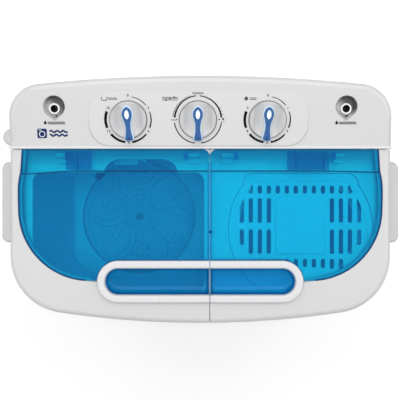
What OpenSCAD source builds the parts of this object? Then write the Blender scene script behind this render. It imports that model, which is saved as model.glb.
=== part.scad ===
// Top load twin-tub washing machine: wash tub on the left, spin tub on the right,
// two hinged lids, a rear console with three knobs. Millimetres, +Z up, front is -Y.

/* [Body] */
// Half of the overall width over the top rim
half_w = 281; // [260:1:300]
// Half of the overall depth over the top rim
half_d = 182; // [170:1:200]
// Radius of the bowed rear edge
rear_r = 2440; // [1500:10:4000]
// Radius of the bowed front edge
front_r = 1400; // [700:10:2000]
// Corner radius at the rear
rear_corner = 52; // [30:1:60]
// Corner radius at the front
front_corner = 85; // [40:1:90]
// Height of the rubber feet
foot_h = 12; // [8:1:20]
// Height at which the cabinet ends and the top deck begins
cabinet_top = 600; // [500:5:700]
// Wall thickness of the plastic mouldings
wall = 2.5; // [2:0.1:4]

/* [Lids] */
// Joint line between the two lids, from the middle
split_x = 14; // [-30:1:60]
// Height of the main lid surface
lid_top = 650; // [560:1:750]
// Hinge line, measured from the middle towards the rear
hinge_y = 67; // [60:1:70]
// Height of the hinge line
hinge_z = 645.5; // [600:0.5:700]
// Length of the handle ring over both lids
ring_l = 302; // [250:1:320]
// Width of the handle ring
ring_w = 62; // [50:1:70]
// Where the middle of the handle ring lies
ring_y = -118.6; // [-130:0.2:-100]

/* [Tubs] */
// Wash axis position in X
wash_x = -124; // [-130:1:-118]
// Wash axis position in Y
wash_y = -33; // [-40:1:-25]
// Pulsator radius
pulsator_r = 112; // [90:1:114]
// Spin axis position in X
spin_x = 151; // [148:1:154]
// Spin axis position in Y
spin_y = -43; // [-46:1:-40]
// Spin basket radius
basket_r = 96; // [80:1:100]

/* [Console] */
// Tilt of the console face
tilt = 12; // [8:1:18]
// Height of the console front lip
lip_z = 656; // [600:1:760]
// Distance between knob axes
knob_pitch = 100.5; // [90:0.5:120]
// Radius of a knob skirt
knob_r = 26.5; // [20:0.5:30]

/* [Hidden] */
lip_y = 75.6;
gap = 0.5;
foot_x = 222;
foot_y = 118;
deck_z = 628;
trough_z = 620;
motor_x = -30;
motor_y = 92;
hose_x = -286;
hose_y = 96;
rcx = half_w - rear_corner;
rcy = half_d - rear_r + sqrt(pow(rear_r - rear_corner, 2) - pow(rcx, 2));
fcx = half_w - front_corner;
fcy = -half_d + front_r - sqrt(pow(front_r - front_corner, 2) - pow(fcx, 2));
rear_a = asin(rcx / (rear_r - rear_corner));
front_a = asin(fcx / (front_r - front_corner));
k_x = -3.4;
k_y = 117;
k_v = (k_y - lip_y) / cos(tilt);
inlet_x = 210.5;
inlet_v = (135.5 - lip_y) / cos(tilt);
spigot_v = -3.4;

// ---- shared outlines ----

function arc(cx, cy, r, a0, a1, n) =
  [for (i = [0:n]) [cx + r * cos(a0 + (a1 - a0) * i / n), cy + r * sin(a0 + (a1 - a0) * i / n)]];

// plan outline of the machine, drawn d inside the top rim
module outline(d = 0) {
  polygon(concat(
    arc(rcx, rcy, rear_corner - d, 0, 90 - rear_a, 8),
    arc(0, half_d - rear_r, rear_r - d, 90 - rear_a, 90 + rear_a, 8),
    arc(-rcx, rcy, rear_corner - d, 90 + rear_a, 180, 8),
    arc(-fcx, fcy, front_corner - d, 180, 270 - front_a, 10),
    arc(0, front_r - half_d, front_r - d, 270 - front_a, 270 + front_a, 12),
    arc(fcx, fcy, front_corner - d, 270 + front_a, 360, 10)
  ));
}

module box(x0, x1, y0, y1, z0, z1) {
  translate([x0, y0, z0]) cube([x1 - x0, y1 - y0, z1 - z0]);
}

module slab(z0, z1) {
  translate([0, 0, z0]) linear_extrude(height = z1 - z0) children();
}

module ring_wall(d0, d1, z0, z1) {
  slab(z0, z1) difference() {
    outline(d0);
    outline(d1);
  }
}

// rounded rectangle between two corners
module rrect(x0, x1, y0, y1, r) {
  rad = min(r, (x1 - x0) / 2, (y1 - y0) / 2);
  union() {
    translate([x0 + rad, y0]) square([x1 - x0 - 2 * rad, y1 - y0]);
    translate([x0, y0 + rad]) square([x1 - x0, y1 - y0 - 2 * rad]);
    for (x = [x0 + rad, x1 - rad]) {
      for (y = [y0 + rad, y1 - rad]) translate([x, y]) circle(r = rad, $fn = 48);
    }
  }
}

module stadium(l, w) {
  union() {
    square([l - w, w], center = true);
    for (s = [-1, 1]) translate([s * (l - w) / 2, 0]) circle(r = w / 2, $fn = 64);
  }
}

// frame of the sloping console face: x along the width, y up the slope, z out of the face
module on_face() {
  translate([0, lip_y, lip_z]) rotate([tilt, 0, 0]) children();
}

// ---- static body ----

module feet() {
  color("#303234") {
    for (x = [-foot_x, foot_x]) {
      for (y = [-foot_y, foot_y]) {
        translate([x, y, 0]) cylinder(r1 = 15, r2 = 18, h = foot_h, $fn = 48);
      }
    }
  }
}

module base_pan() {
  color("#e4e6e8") {
    difference() {
      union() {
        ring_wall(6, 10.5, foot_h, 50);
        slab(foot_h, foot_h + 4) outline(6);
        // posts for the wash motor mounts
        for (a = [45, 135, 225]) {
          translate([motor_x + 50 * cos(a), motor_y + 50 * sin(a), foot_h + 2])
            cylinder(r = 9, h = 40, $fn = 32);
        }
        // seats for the spin motor springs
        for (a = [90, 210, 330]) {
          translate([spin_x + 52 * cos(a), spin_y + 52 * sin(a), foot_h + 2])
            cylinder(r = 15, h = 14, $fn = 40);
        }
        // pedestal for the drain pump
        box(-235, -175, 70, 122, foot_h + 2, 40);
        // legs that carry the bearing housing
        for (a = [110, 230, 350]) {
          translate([wash_x + 88 * cos(a), wash_y + 88 * sin(a), foot_h + 2])
            cylinder(r = 9, h = 186, $fn = 32);
        }
      }
      // drip slots
      for (i = [-3:3]) box(-2 + i * 10, 3 + i * 10, -120, -70, foot_h - 1, foot_h + 5);
    }
  }
}

module cabinet() {
  color("#eceeef") {
    difference() {
      ring_wall(7.5, 10, 50, cabinet_top);
      // service opening behind the rear cover
      box(-190, 190, 150, 190, 100, 520);
      // hole for the drain hose
      translate([-290, hose_y, 78]) rotate([0, 90, 0]) cylinder(r = 20, h = 40, $fn = 48);
      // hole for the cord gland
      translate([230, 150, 120]) rotate([-90, 0, 0]) cylinder(r = 9, h = 40, $fn = 40);
      for (x = [-197, 197]) {
        for (z = [110, 310, 510]) {
          translate([x, 150, z]) rotate([-90, 0, 0]) cylinder(r = 1.7, h = 40, $fn = 24);
        }
      }
    }
  }
}

module rear_cover() {
  color("#dfe1e3") {
    difference() {
      intersection() {
        ring_wall(5, 7.5, 90, 530);
        box(-205, 205, 140, 190, 90, 530);
      }
      for (x = [-197, 197]) {
        for (z = [110, 310, 510]) {
          translate([x, 150, z]) rotate([-90, 0, 0]) cylinder(r = 1.9, h = 40, $fn = 24);
        }
      }
      // louvres
      for (i = [0:9]) {
        slab(140 + i * 14, 145 + i * 14) translate([-70, 150]) square([140, 40]);
      }
    }
  }
}

module rear_cover_screws() {
  color("#b9bcc0") {
    for (x = [-197, 197]) {
      for (z = [110, 310, 510]) {
        translate([x, 165.2, z]) rotate([-90, 0, 0]) cylinder(r = 1.5, h = 7, $fn = 24);
        translate([x, 169.4, z]) rotate([-90, 0, 0]) cylinder(r = 4, h = 2.2, $fn = 32);
      }
    }
  }
}

module grip(s) {
  translate([0, -2.5, 0]) {
    difference() {
      slab(600, 624) polygon(s > 0
        ? concat([[281, -62]], arc(288, -50, 12, 300, 360, 6), arc(288, 50, 12, 0, 60, 6), [[281, 62]])
        : concat([[-281, 62]], arc(-288, 50, 12, 120, 180, 6), arc(-288, -50, 12, 180, 240, 6),
          [[-281, -62]]));
      slab(599, 619) translate([s > 0 ? 283 : -295.5, -50]) square([12.5, 100]);
    }
  }
}

module side_grip_left() {
  color("#9c9fa3") grip(-1);
}

module side_grip_right() {
  color("#9c9fa3") grip(1);
}

// plan of the wash opening with the arched bay of the water inlet at the rear
module wash_mouth(d = 0) {
  union() {
    intersection() {
      union() {
        rrect(-252 - d, 6 + d, -152 - d, 42.5 + d, 34 + d);
        rrect(-252 - d, 6 + d, -40, 42.5 + d, 14 + d);
      }
      outline(22 - d);
    }
    translate([-89, 32]) rrect(-56 - d, 56 + d, -30, 30.5 + d, 24 + d);
  }
}

// plan of the round inner cover with its flat rear edge
module cover_plan(d = 0) {
  union() {
    intersection() {
      translate([spin_x, spin_y]) circle(r = 109 + d, $fn = 120);
      translate([spin_x - 150, -200]) square([300, 240.5 + d]);
    }
    translate([spin_x, 0]) rrect(-87 - d, 87 + d, 0, 40.5 + d, 16 + d);
  }
}

module top_deck() {
  color("#f2f3f4") {
    difference() {
      union() {
        ring_wall(0, 3, cabinet_top, deck_z);
        ring_wall(1, 11, cabinet_top, cabinet_top + 3);
        // main plate under the lids
        slab(deck_z - 3, deck_z) intersection() {
          outline(1);
          translate([-300, -200]) square([600, 245]);
        }
        // hinge trough
        slab(trough_z - 3, trough_z) intersection() {
          outline(1);
          translate([-300, 42]) square([600, 40]);
        }
        slab(trough_z - 3, deck_z) intersection() {
          outline(1);
          translate([-300, 42]) square([600, 3]);
        }
        slab(trough_z - 3, deck_z) intersection() {
          outline(1);
          translate([-300, 79]) square([600, 3]);
        }
        // console floor
        slab(deck_z - 3, deck_z) intersection() {
          outline(1);
          translate([-300, 79]) square([600, 110]);
        }
        // collars round both openings
        slab(trough_z - 3, deck_z) wash_mouth(3);
        slab(trough_z - 3, deck_z) cover_plan(3);
        // rims that meet both tubs
        slab(trough_z - 3, deck_z - 1) intersection() {
          difference() {
            wash_tub_plan();
            wash_tub_plan(3);
          }
          translate([-300, -200]) square([600, 243]);
        }
        slab(trough_z - 3, deck_z - 1) intersection() {
          translate([spin_x, spin_y]) circle(r = 116, $fn = 120);
          translate([-300, -200]) square([600, 243]);
        }
        // backing of the hose groove
        slab(cabinet_top, deck_z) intersection() {
          outline(1);
          translate([hose_x, hose_y]) circle(r = 16, $fn = 64);
        }
      }
      slab(590, 640) wash_mouth();
      slab(trough_z + 1.6, 640) cover_plan(0.5);
      slab(590, 640) cover_plan(-6);
      // console openings for the timers and the inlet funnels
      slab(620, 640) rrect(-150, 145, 88, 166, 10);
      for (x = [-inlet_x, inlet_x]) slab(620, 640) rrect(x - 19, x + 19, 120, 158, 5);
      // lid switch plunger
      translate([15.8, -47, 610]) cylinder(r = 2.6, h = 30, $fn = 32);
      // hose groove
      translate([hose_x, hose_y, 590]) cylinder(r = 13, h = 50, $fn = 64);
    }
  }
}

// solid wedge under the sloping console face, w lower than the face
module under_face(w) {
  on_face() translate([-320, -60, -150 - w]) cube([640, 260, 150]);
}

module control_housing() {
  color("#eceef0") {
    difference() {
      union() {
        difference() {
          intersection() {
            slab(deck_z, 700) intersection() {
              outline(1.5);
              translate([-300, lip_y]) square([600, 120]);
            }
            under_face(0);
          }
          // hollow inside
          intersection() {
            slab(deck_z - 1, 700) intersection() {
              outline(4.5);
              translate([-300, 81.5]) square([600, 120]);
            }
            under_face(3);
          }
          // room for the lids behind the hinge line
          box(-300, 300, 70, 78.5, 600, 653);
        }
        // bosses that hold the timer cases
        intersection() {
          on_face() {
            for (i = [-1:1]) {
              for (s = [-1, 1]) {
                translate([k_x + i * knob_pitch + s * 17, k_v, -14]) cylinder(r = 4, h = 12, $fn = 32);
              }
            }
          }
          under_face(1);
        }
      }
      // shaft holes
      on_face() {
        for (i = [-1:1]) {
          translate([k_x + i * knob_pitch, k_v, -6]) cylinder(r = 8, h = 12, $fn = 48);
        }
        for (x = [-inlet_x, inlet_x]) {
          translate([x, inlet_v, -20]) cylinder(r = 15, h = 30, $fn = 64);
          // drop-shaped front end of the recess
          translate([x, inlet_v - 9, -20]) rotate([0, 0, 45])
            translate([-7.5, -7.5, 0]) cube([15, 15, 30]);
        }
      }
    }
  }
}

module dial_plate() {
  color("#e6e8ea") {
    on_face() slab(0, 0.8) difference() {
      rrect(-161, 156, 4, 84, 31);
      for (i = [-1:1]) translate([k_x + i * knob_pitch, k_v]) circle(r = 8, $fn = 48);
    }
  }
}

module inlet_cup(x) {
  on_face() translate([x, inlet_v, 0]) {
    difference() {
      union() {
        translate([0, 0, -11]) cylinder(r = 15, h = 11, $fn = 64);
        intersection() {
          translate([0, -9, -11]) rotate([0, 0, 45]) translate([-7.5, -7.5, 0]) cube([15, 15, 11]);
          translate([-20, -40, -11]) cube([40, 40, 11]);
        }
        translate([0, spigot_v, -28]) cylinder(r = 7.7, h = 20, $fn = 48);
      }
      difference() {
        union() {
          translate([0, 0, -9]) cylinder(r = 13.4, h = 10, $fn = 64);
          translate([0, -8.8, -9]) rotate([0, 0, 45]) translate([-6, -6, 0]) cube([12, 12, 10]);
        }
        translate([0, spigot_v, -10]) cylinder(r = 7.7, h = 9, $fn = 48);
      }
      translate([0, spigot_v, -29]) cylinder(r = 5.3, h = 40, $fn = 48);
    }
  }
}

module inlet_cup_left() {
  color("#8f9296") inlet_cup(-inlet_x);
}

module inlet_cup_right() {
  color("#8f9296") inlet_cup(inlet_x);
}

module inlet_duct(x, y0) {
  difference() {
    union() {
      box(x - 17, x + 17, 122, 156, 596, 628);
      box(x - 12, x + 12, y0, 124, 596, 612);
    }
    box(x - 15, x + 15, 124, 154, 598, 629);
    box(x - 10, x + 10, y0 - 1, 130, 598, 610);
  }
}

module inlet_duct_left() {
  color("#d8dadc") inlet_duct(-inlet_x, 66);
}

module inlet_duct_right() {
  color("#d8dadc") inlet_duct(inlet_x, 30);
}

module timer_case(i, r, h) {
  on_face() translate([k_x + i * knob_pitch, k_v, -14]) {
    difference() {
      union() {
        translate([0, 0, -h]) cylinder(r = r, h = h, $fn = 64);
        translate([-r - 3, -5, -h]) cube([6, 10, h - 6]);
        for (t = [-12, 0, 12]) translate([t - 3, -0.5, -h - 6]) cube([5, 1, 7]);
      }
      translate([0, 0, -h / 2]) cylinder(r = 3.06, h = h, $fn = 48);
    }
  }
}

module wash_timer() {
  color("#c9ccd0") timer_case(-1, 23, 26);
}

module drain_selector() {
  color("#c9ccd0") timer_case(0, 19, 20);
}

module spin_timer() {
  color("#c9ccd0") timer_case(1, 23, 26);
}

module bracket(x, w) {
  difference() {
    union() {
      box(x, x + w, 56, 70, trough_z, hinge_z);
      translate([x, hinge_y, hinge_z]) rotate([0, 90, 0]) cylinder(r = 4.1, h = w, $fn = 40);
    }
    translate([x - 1, hinge_y, hinge_z]) rotate([0, 90, 0]) cylinder(r = 2.27, h = w + 2, $fn = 40);
    box(x - 1, x + w + 1, 50, 62.9, hinge_z - 10, hinge_z + 5);
  }
}

module hinge_brackets() {
  color("#e9ebec") {
    bracket(-212, 13);
    bracket(-18, 17);
    bracket(32, 17);
    bracket(199, 13);
  }
}

module wash_tub() {
  color("#dfe6ec") {
    difference() {
      union() {
        slab(258, trough_z - 3) wash_tub_plan();
        // outlet stub of the sump
        translate([-205, 50, 246]) cylinder(r = 13, h = 14, $fn = 48);
      }
      slab(284, 640) wash_tub_plan(3);
      // well of the pulsator
      translate([wash_x, wash_y, 264]) cylinder(r = 116, h = 30, $fn = 120);
      translate([wash_x, wash_y, 250]) cylinder(r = 14, h = 40, $fn = 48);
      translate([-205, 50, 240]) cylinder(r = 10, h = 60, $fn = 48);
      // passage of the inlet duct
      box(-inlet_x - 12, -inlet_x + 12, 70, 85, 596, 612);
    }
  }
}

module wash_tub_plan(d = 0) {
  intersection() {
    rrect(-259 + d, 10 - d, -159 + d, 79 - d, 40 - d);
    outline(14 + d);
  }
}

module spin_tub() {
  color("#dfe6ec") {
    difference() {
      union() {
        translate([spin_x, spin_y, 290]) cylinder(r = 116, h = trough_z - 3 - 290, $fn = 120);
        translate([73, -25, 276]) cylinder(r = 9.5, h = 16, $fn = 48);
        // pivot post of the brake lever
        translate([spin_x - 60, spin_y - 30, 224]) cylinder(r = 8, h = 68, $fn = 40);
        translate([spin_x - 60, spin_y - 30, 206]) cylinder(r = 4, h = 19, $fn = 40);
      }
      translate([spin_x, spin_y, 294]) cylinder(r = 113, h = 330, $fn = 120);
      translate([spin_x, spin_y, 280]) cylinder(r = 14, h = 20, $fn = 48);
      translate([73, -25, 270]) cylinder(r = 7.5, h = 40, $fn = 48);
      box(inlet_x - 12, inlet_x + 12, 40, 85, 596, 612);
    }
  }
}

module lint_filter_guide() {
  color("#cfd6dc") {
    for (s = [-1, 1]) {
      difference() {
        box(s > 0 ? -88 : -156, s > 0 ? -84 : -152, 60, 76, 380, 600);
        box(s > 0 ? -89 : -153.5, s > 0 ? -86.5 : -151, 64, 71, 399.5, 601);
      }
    }
  }
}

module bearing_housing() {
  color("#a9adb2") {
    difference() {
      union() {
        translate([wash_x, wash_y, 206]) cylinder(r = 26, h = 52, $fn = 64);
        translate([wash_x, wash_y, 200]) cylinder(r = 97, h = 6, $fn = 96);
        translate([wash_x, wash_y, 258]) cylinder(r = 13.9, h = 6, $fn = 48);
      }
      translate([wash_x, wash_y, 190]) cylinder(r = 8.06, h = 80, $fn = 48);
    }
  }
}

module wash_motor() {
  color("#7d8288") {
    difference() {
      union() {
        translate([motor_x, motor_y, 60]) cylinder(r = 48, h = 88, $fn = 96);
        for (a = [45, 135, 225]) {
          translate([motor_x, motor_y, 60]) rotate([0, 0, a]) translate([30, -8, 0]) cube([29, 16, 5]);
        }
      }
      translate([motor_x, motor_y, 100]) cylinder(r = 6.06, h = 60, $fn = 48);
      for (i = [0:11]) {
        translate([motor_x, motor_y, 0]) rotate([0, 0, i * 30])
          translate([44, -3, 80]) cube([8, 6, 50]);
      }
    }
  }
}

module motor_mounts() {
  color("#26282a") {
    for (a = [45, 135, 225]) {
      translate([motor_x + 50 * cos(a), motor_y + 50 * sin(a), foot_h + 42])
        cylinder(r = 8, h = 60 - foot_h - 42, $fn = 32);
    }
  }
}

belt_d = sqrt(pow(motor_x - wash_x, 2) + pow(motor_y - wash_y, 2));
belt_a = atan2(motor_y - wash_y, motor_x - wash_x);
belt_b = asin((68 - 20) / belt_d);

module belt_plan(d) {
  polygon(concat(
    arc(0, 0, 68 + d, 90 - belt_b, 270 + belt_b, 40),
    arc(belt_d, 0, 20 + d, -90 + belt_b, 90 - belt_b, 20)
  ));
}

module drive_belt() {
  color("#2b2c2e") {
    translate([wash_x, wash_y, 0]) rotate([0, 0, belt_a]) slab(172, 180) difference() {
      belt_plan(6.4);
      belt_plan(0.4);
    }
  }
}

module spin_motor() {
  color("#7d8288") {
    difference() {
      union() {
        translate([spin_x, spin_y, 76]) cylinder(r = 52, h = 96, $fn = 96);
        translate([spin_x, spin_y, 70]) cylinder(r = 68, h = 6, $fn = 96);
      }
      translate([spin_x, spin_y, 110]) cylinder(r = 6.06, h = 70, $fn = 48);
    }
  }
}

module spin_motor_springs() {
  color("#9ea2a7") {
    for (a = [90, 210, 330]) {
      translate([spin_x + 52 * cos(a), spin_y + 52 * sin(a), foot_h + 16]) {
        for (j = [0:5]) {
          translate([0, 0, 2.5 + j * 7.4]) rotate_extrude($fn = 48) translate([11, 0]) circle(r = 2.5, $fn = 16);
        }
        cylinder(r = 9, h = 42, $fn = 32);
      }
    }
  }
}

module run_capacitors() {
  color("#d9dbdd") {
    translate([60, 120, foot_h + 4]) cylinder(r = 20, h = 72, $fn = 64);
    translate([112, 120, foot_h + 4]) cylinder(r = 17, h = 62, $fn = 64);
  }
}

module drain_pump() {
  color("#5f646a") {
    difference() {
      union() {
        translate([-205, 96, 40]) cylinder(r = 25, h = 26, $fn = 64);
        translate([-205, 96, 66]) cylinder(r = 32, h = 26, $fn = 64);
        // outlet towards the drain hose
        translate([-236, 96, 78]) rotate([0, -90, 0]) cylinder(r = 9, h = 12, $fn = 40);
        translate([-237, 96, 78]) rotate([0, 90, 0]) cylinder(r = 9, h = 10, $fn = 40);
        // inlet on top
        translate([-205, 96, 92]) cylinder(r = 13, h = 16, $fn = 48);
        // second inlet from the spin tub
        translate([-205, 96, 79]) rotate([90, 0, 0]) cylinder(r = 9.5, h = 46, $fn = 48);
      }
      translate([-205, 96, 69]) cylinder(r = 29, h = 20, $fn = 64);
      translate([-205, 96, 80]) cylinder(r = 9.5, h = 40, $fn = 48);
      translate([-250, 96, 78]) rotate([0, 90, 0]) cylinder(r = 7, h = 30, $fn = 40);
      translate([-205, 96, 79]) rotate([90, 0, 0]) cylinder(r = 7, h = 60, $fn = 40);
      translate([-205, 96, 50]) cylinder(r = 3.06, h = 30, $fn = 40);
    }
  }
}

// quarter bend in the plane of the first two axes, from the first to the second
module bend(r, ro, ri) {
  rotate_extrude(angle = 90, $fn = 96) translate([r, 0]) difference() {
    circle(r = ro, $fn = 40);
    circle(r = ri, $fn = 40);
  }
}

module tube(l, ro, ri) {
  difference() {
    cylinder(r = ro, h = l, $fn = 48);
    translate([0, 0, -1]) cylinder(r = ri, h = l + 2, $fn = 48);
  }
}

module sump_hose() {
  color("#6b7075") {
    translate([-205, 50, 200]) tube(58, 15.5, 13);
    translate([-205, 73, 200]) rotate([90, 0, 90]) rotate([0, 0, 180]) bend(23, 15.5, 13);
    translate([-205, 73, 154]) rotate([90, 0, 90]) bend(23, 15.5, 13);
    translate([-205, 96, 92]) tube(62, 15.5, 13);
  }
}

module spin_drain_hose() {
  color("#6b7075") {
    translate([73, -25, 104]) tube(186, 11.5, 9.5);
    translate([48, -25, 104]) rotate([90, 0, 0]) rotate([0, 0, 270]) bend(25, 11.5, 9.5);
    translate([-180, -25, 79]) rotate([0, 90, 0]) tube(228, 11.5, 9.5);
    translate([-180, 0, 79]) rotate([0, 0, 180]) bend(25, 11.5, 9.5);
    translate([-205, 60, 79]) rotate([90, 0, 0]) tube(60, 11.5, 9.5);
  }
}

// corrugated hose standing in the groove of the left side
module drain_hose() {
  color("#8e9296") {
    translate([hose_x, hose_y, 0]) {
      rotate_extrude($fn = 48) polygon(concat(
        [[9, 98], [11, 98]],
        [for (i = [0:41]) for (q = [0:3]) [q == 0 ? 10.6 : q == 1 ? 12 : q == 2 ? 12 : 10.6,
          102 + i * 12 + [0, 2.4, 7.2, 9.6][q]]],
        [[11, 606], [11, 622], [9, 622]]
      ));
      translate([20, 0, 98]) rotate([90, 0, 0]) rotate([0, 0, 180])
        rotate_extrude(angle = 90, $fn = 96) translate([20, 0]) difference() {
          circle(r = 11, $fn = 48);
          circle(r = 9, $fn = 48);
        }
    }
    translate([hose_x + 20, hose_y, 78]) rotate([0, 90, 0]) difference() {
      cylinder(r = 11, h = 20, $fn = 48);
      translate([0, 0, -1]) cylinder(r = 9, h = 30, $fn = 48);
    }
  }
}

// push-on plug that closes the free end of the hose
module hose_cap() {
  color("#c8cbce") {
    translate([hose_x, hose_y, 606]) difference() {
      union() {
        cylinder(r = 12.6, h = 16.5, $fn = 64);
        translate([0, 0, 16.5]) cylinder(r1 = 12.6, r2 = 10.6, h = 2, $fn = 64);
      }
      translate([0, 0, -1]) cylinder(r = 11, h = 17, $fn = 48);
    }
  }
}

module hose_hook() {
  color("#a3a6aa") {
    difference() {
      union() {
        translate([hose_x, hose_y, 572]) cylinder(r = 14, h = 18, $fn = 64);
        box(-282, -273.5, hose_y - 22, hose_y + 22, 572, 590);
      }
      translate([hose_x, hose_y, 570]) cylinder(r = 12, h = 30, $fn = 64);
      // flat back that lies on the cabinet wall
      box(-273.5, -260, hose_y - 30, hose_y + 30, 560, 600);
    }
  }
}

module cord_gland() {
  color("#2a2c2e") {
    translate([230, 0, 120]) rotate([-90, 0, 0]) difference() {
      union() {
        translate([0, 0, 155]) cylinder(r = 8.8, h = 13, $fn = 40);
        translate([0, 0, 165]) cylinder(r = 12, h = 4, $fn = 48);
      }
      translate([0, 0, 150]) cylinder(r = 4, h = 40, $fn = 32);
    }
  }
}

module lid_switch() {
  color("#3a3d40") {
    box(12.5, 30, -60, -34, 602, trough_z - 3);
    translate([15.8, -47, 610]) cylinder(r = 1.8, h = 28.5, $fn = 24);
  }
}

// ---- lids ----

// side view of the lid band between two heights below its upper surface
module lid_band(t0, t1) {
  rotate([90, 0, 90]) translate([0, 0, -300]) linear_extrude(height = 600) polygon([
    [-200, lid_top - t1], [43, lid_top - t1], [75.1, lid_top + 2 - t1],
    [75.1, lid_top + 2 - t0], [43, lid_top - t0], [-200, lid_top - t0]
  ]);
}

// plan of the blue window, d larger all round; both lids together
module window_plan(d = 0) {
  union() {
    polygon(concat(
      [[-261 - d, 76 + d]],
      arc(-155, 14, 112.5 + d, 165, 180, 4),
      arc(-162, -12.7, 105 + d, 180, 269, 24),
      [[-155, -118.6 - d], [155, -118.6 - d]],
      arc(162, -12.7, 105 + d, 271, 360, 24),
      arc(155, 14, 112.5 + d, 0, 15, 4),
      [[261 + d, 76 + d]]
    ));
    translate([0, ring_y]) stadium(ring_l - 6 + 2 * d, ring_w - 6 + 2 * d);
  }
}

module lid_half(s) {
  translate([s < 0 ? -400 + split_x - gap : split_x + gap, -300]) square([400, 375.1]);
}

module lid_frame(s) {
  difference() {
    intersection() {
      hull() {
        slab(628.4, 639) outline(0);
        slab(644, 645) outline(1.4);
        slab(647.5, 648) outline(3.8);
        slab(651.6, 652) outline(8);
      }
      lid_band(0, 40);
      slab(620, 660) lid_half(s);
    }
    slab(lid_top - 3, 660) window_plan(0.3);
    slab(620, 660) window_plan(-4.5);
    slab(620, lid_top - 6.5) difference() {
      outline(3);
      translate([split_x - 3, -300]) square([6, 400]);
    }
    box(-300, 300, 62, 80, 620, 641);
    // open at the rear, where the window runs to the hinge line
    box(-255, 255, 60, 80, 620, 700);
  }
}

module wash_lid_frame() {
  color("#f4f5f6") lid_frame(-1);
}

module spin_lid_frame() {
  color("#f4f5f6") lid_frame(1);
}

module lid_arm(x) {
  difference() {
    union() {
      box(x, x + 6, hinge_y - 7, hinge_y + 4.1, hinge_z, 651);
      translate([x, hinge_y, hinge_z]) rotate([0, 90, 0]) cylinder(r = 4.1, h = 6, $fn = 40);
    }
  }
}

module lid_pin(x, l) {
  translate([x, hinge_y, hinge_z]) rotate([0, 90, 0]) cylinder(r = 2.2, h = l, $fn = 40);
}

module lid_window(s, arms) {
  difference() {
    union() {
      intersection() {
        lid_band(0, 2.5);
        slab(600, 700) intersection() {
          window_plan(0);
          lid_half(s);
        }
      }
      slab(634, lid_top - 1) intersection() {
        translate([0, ring_y]) stadium(ring_l - 18, ring_w - 17);
        lid_half(s);
      }
      // stiffening walls at the joint line and at the rear
      slab(639, lid_top - 1) intersection() {
        lid_half(s);
        translate([s < 0 ? split_x - gap - 2.5 : split_x + gap, -90]) square([2.5, 148]);
      }
    }
    slab(636.2, 660) intersection() {
      translate([0, ring_y]) stadium(ring_l - 22, ring_w - 21);
      translate([s < 0 ? -400 + split_x - gap - 2.2 : split_x + gap + 2.2, -300]) square([400, 400]);
    }
    // clearance above the hinge brackets
    for (b = arms) {
      box(b[0] - 0.6, b[0] + b[1] + 0.6, 62, 76.5, 630, lid_top);
    }
  }
  for (b = arms) {
    intersection() {
      lid_arm(b[2] > 0 ? b[0] + b[1] + 0.6 : b[0] - 6.6);
      lid_band(1, 40);
    }
    lid_pin(b[2] > 0 ? b[0] + 1 : b[0] - 3, b[1] + 2);
  }
}

module wash_lid_window() {
  color("#1f86c4") lid_window(-1, [[-212, 13, 1], [-18, 17, -1]]);
}

module spin_lid_window() {
  color("#1f86c4") lid_window(1, [[32, 17, 1], [199, 13, -1]]);
}

// rounded cross-section of the handle ring, standing on z = 0
module ring_section() {
  polygon(concat([[-6.1, 0]], arc(0, 1.9, 6.1, 170, 90, 6), arc(0, 1.9, 6.1, 90, 10, 6), [[6.1, 0]]));
}

module lid_handle(s) {
  end_x = s * (ring_l - ring_w) / 2;
  mid_r = ring_w / 2 - 6.1;
  intersection() {
    union() {
      translate([end_x, ring_y, lid_top]) rotate([0, 0, s > 0 ? -90 : 90])
        rotate_extrude(angle = 180, $fn = 96) translate([mid_r, 0]) ring_section();
      for (t = [-1, 1]) {
        translate([-130, ring_y + t * mid_r, lid_top]) rotate([90, 0, 90])
          intersection() {
            linear_extrude(height = 260) ring_section();
            translate([-20, -1, s > 0 ? 130 + split_x + gap : 130 + end_x - 0])
              cube([40, 20, s > 0 ? end_x - split_x - gap : split_x - gap - end_x]);
          }
      }
    }
    box(-200, 200, -200, 0, 600, 700);
  }
}

module wash_lid_handle() {
  color("#f6f7f8") lid_handle(-1);
}

module spin_lid_handle() {
  color("#f6f7f8") lid_handle(1);
}

// ---- knobs ----

module knob(i, h) {
  on_face() translate([k_x + i * knob_pitch, k_v, 0]) {
    difference() {
      union() {
        translate([0, 0, 1.3]) cylinder(r = knob_r, h = 5.7, $fn = 96);
        translate([0, 0, -12]) cylinder(r = 6, h = 14, $fn = 48);
      }
      // finger scoops on both sides of the grip
      for (s = [-1, 1]) translate([s * 13.4, 0, 27.5]) sphere(r = 24, $fn = 96);
    }
    // shaft into the case
    translate([0, 0, -14 - h]) cylinder(r = 3, h = h + 3, $fn = 48);
  }
}

module knob_grip(i) {
  on_face() translate([k_x + i * knob_pitch, k_v, 7]) {
    difference() {
      union() {
        linear_extrude(height = 9) polygon(concat(
          arc(0, 9, 8, 20, 160, 12), [[-5, -2], [-4.3, -12], [-6.6, -28]],
          arc(0, -28, 6.6, 200, 340, 6), [[6.6, -28], [4.3, -12], [5, -2]]
        ));
      }
      translate([0, 9, 8.4]) linear_extrude(height = 2) scale_oval();
    }
  }
}

module scale_oval() {
  union() {
    translate([0, 2.6]) circle(r = 3.6, $fn = 32);
    translate([0, -2.6]) circle(r = 3.6, $fn = 32);
    square([7.2, 5.2], center = true);
  }
}

module wash_knob() {
  color("#d2d5d8") knob(-1, 8);
}

module selector_knob() {
  color("#d2d5d8") knob(0, 6);
}

module spin_knob() {
  color("#d2d5d8") knob(1, 8);
}

module wash_knob_grip() {
  color("#3f70a8") knob_grip(-1);
}

module selector_knob_grip() {
  color("#3f70a8") knob_grip(0);
}

module spin_knob_grip() {
  color("#3f70a8") knob_grip(1);
}

// ---- wash drive ----

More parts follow.
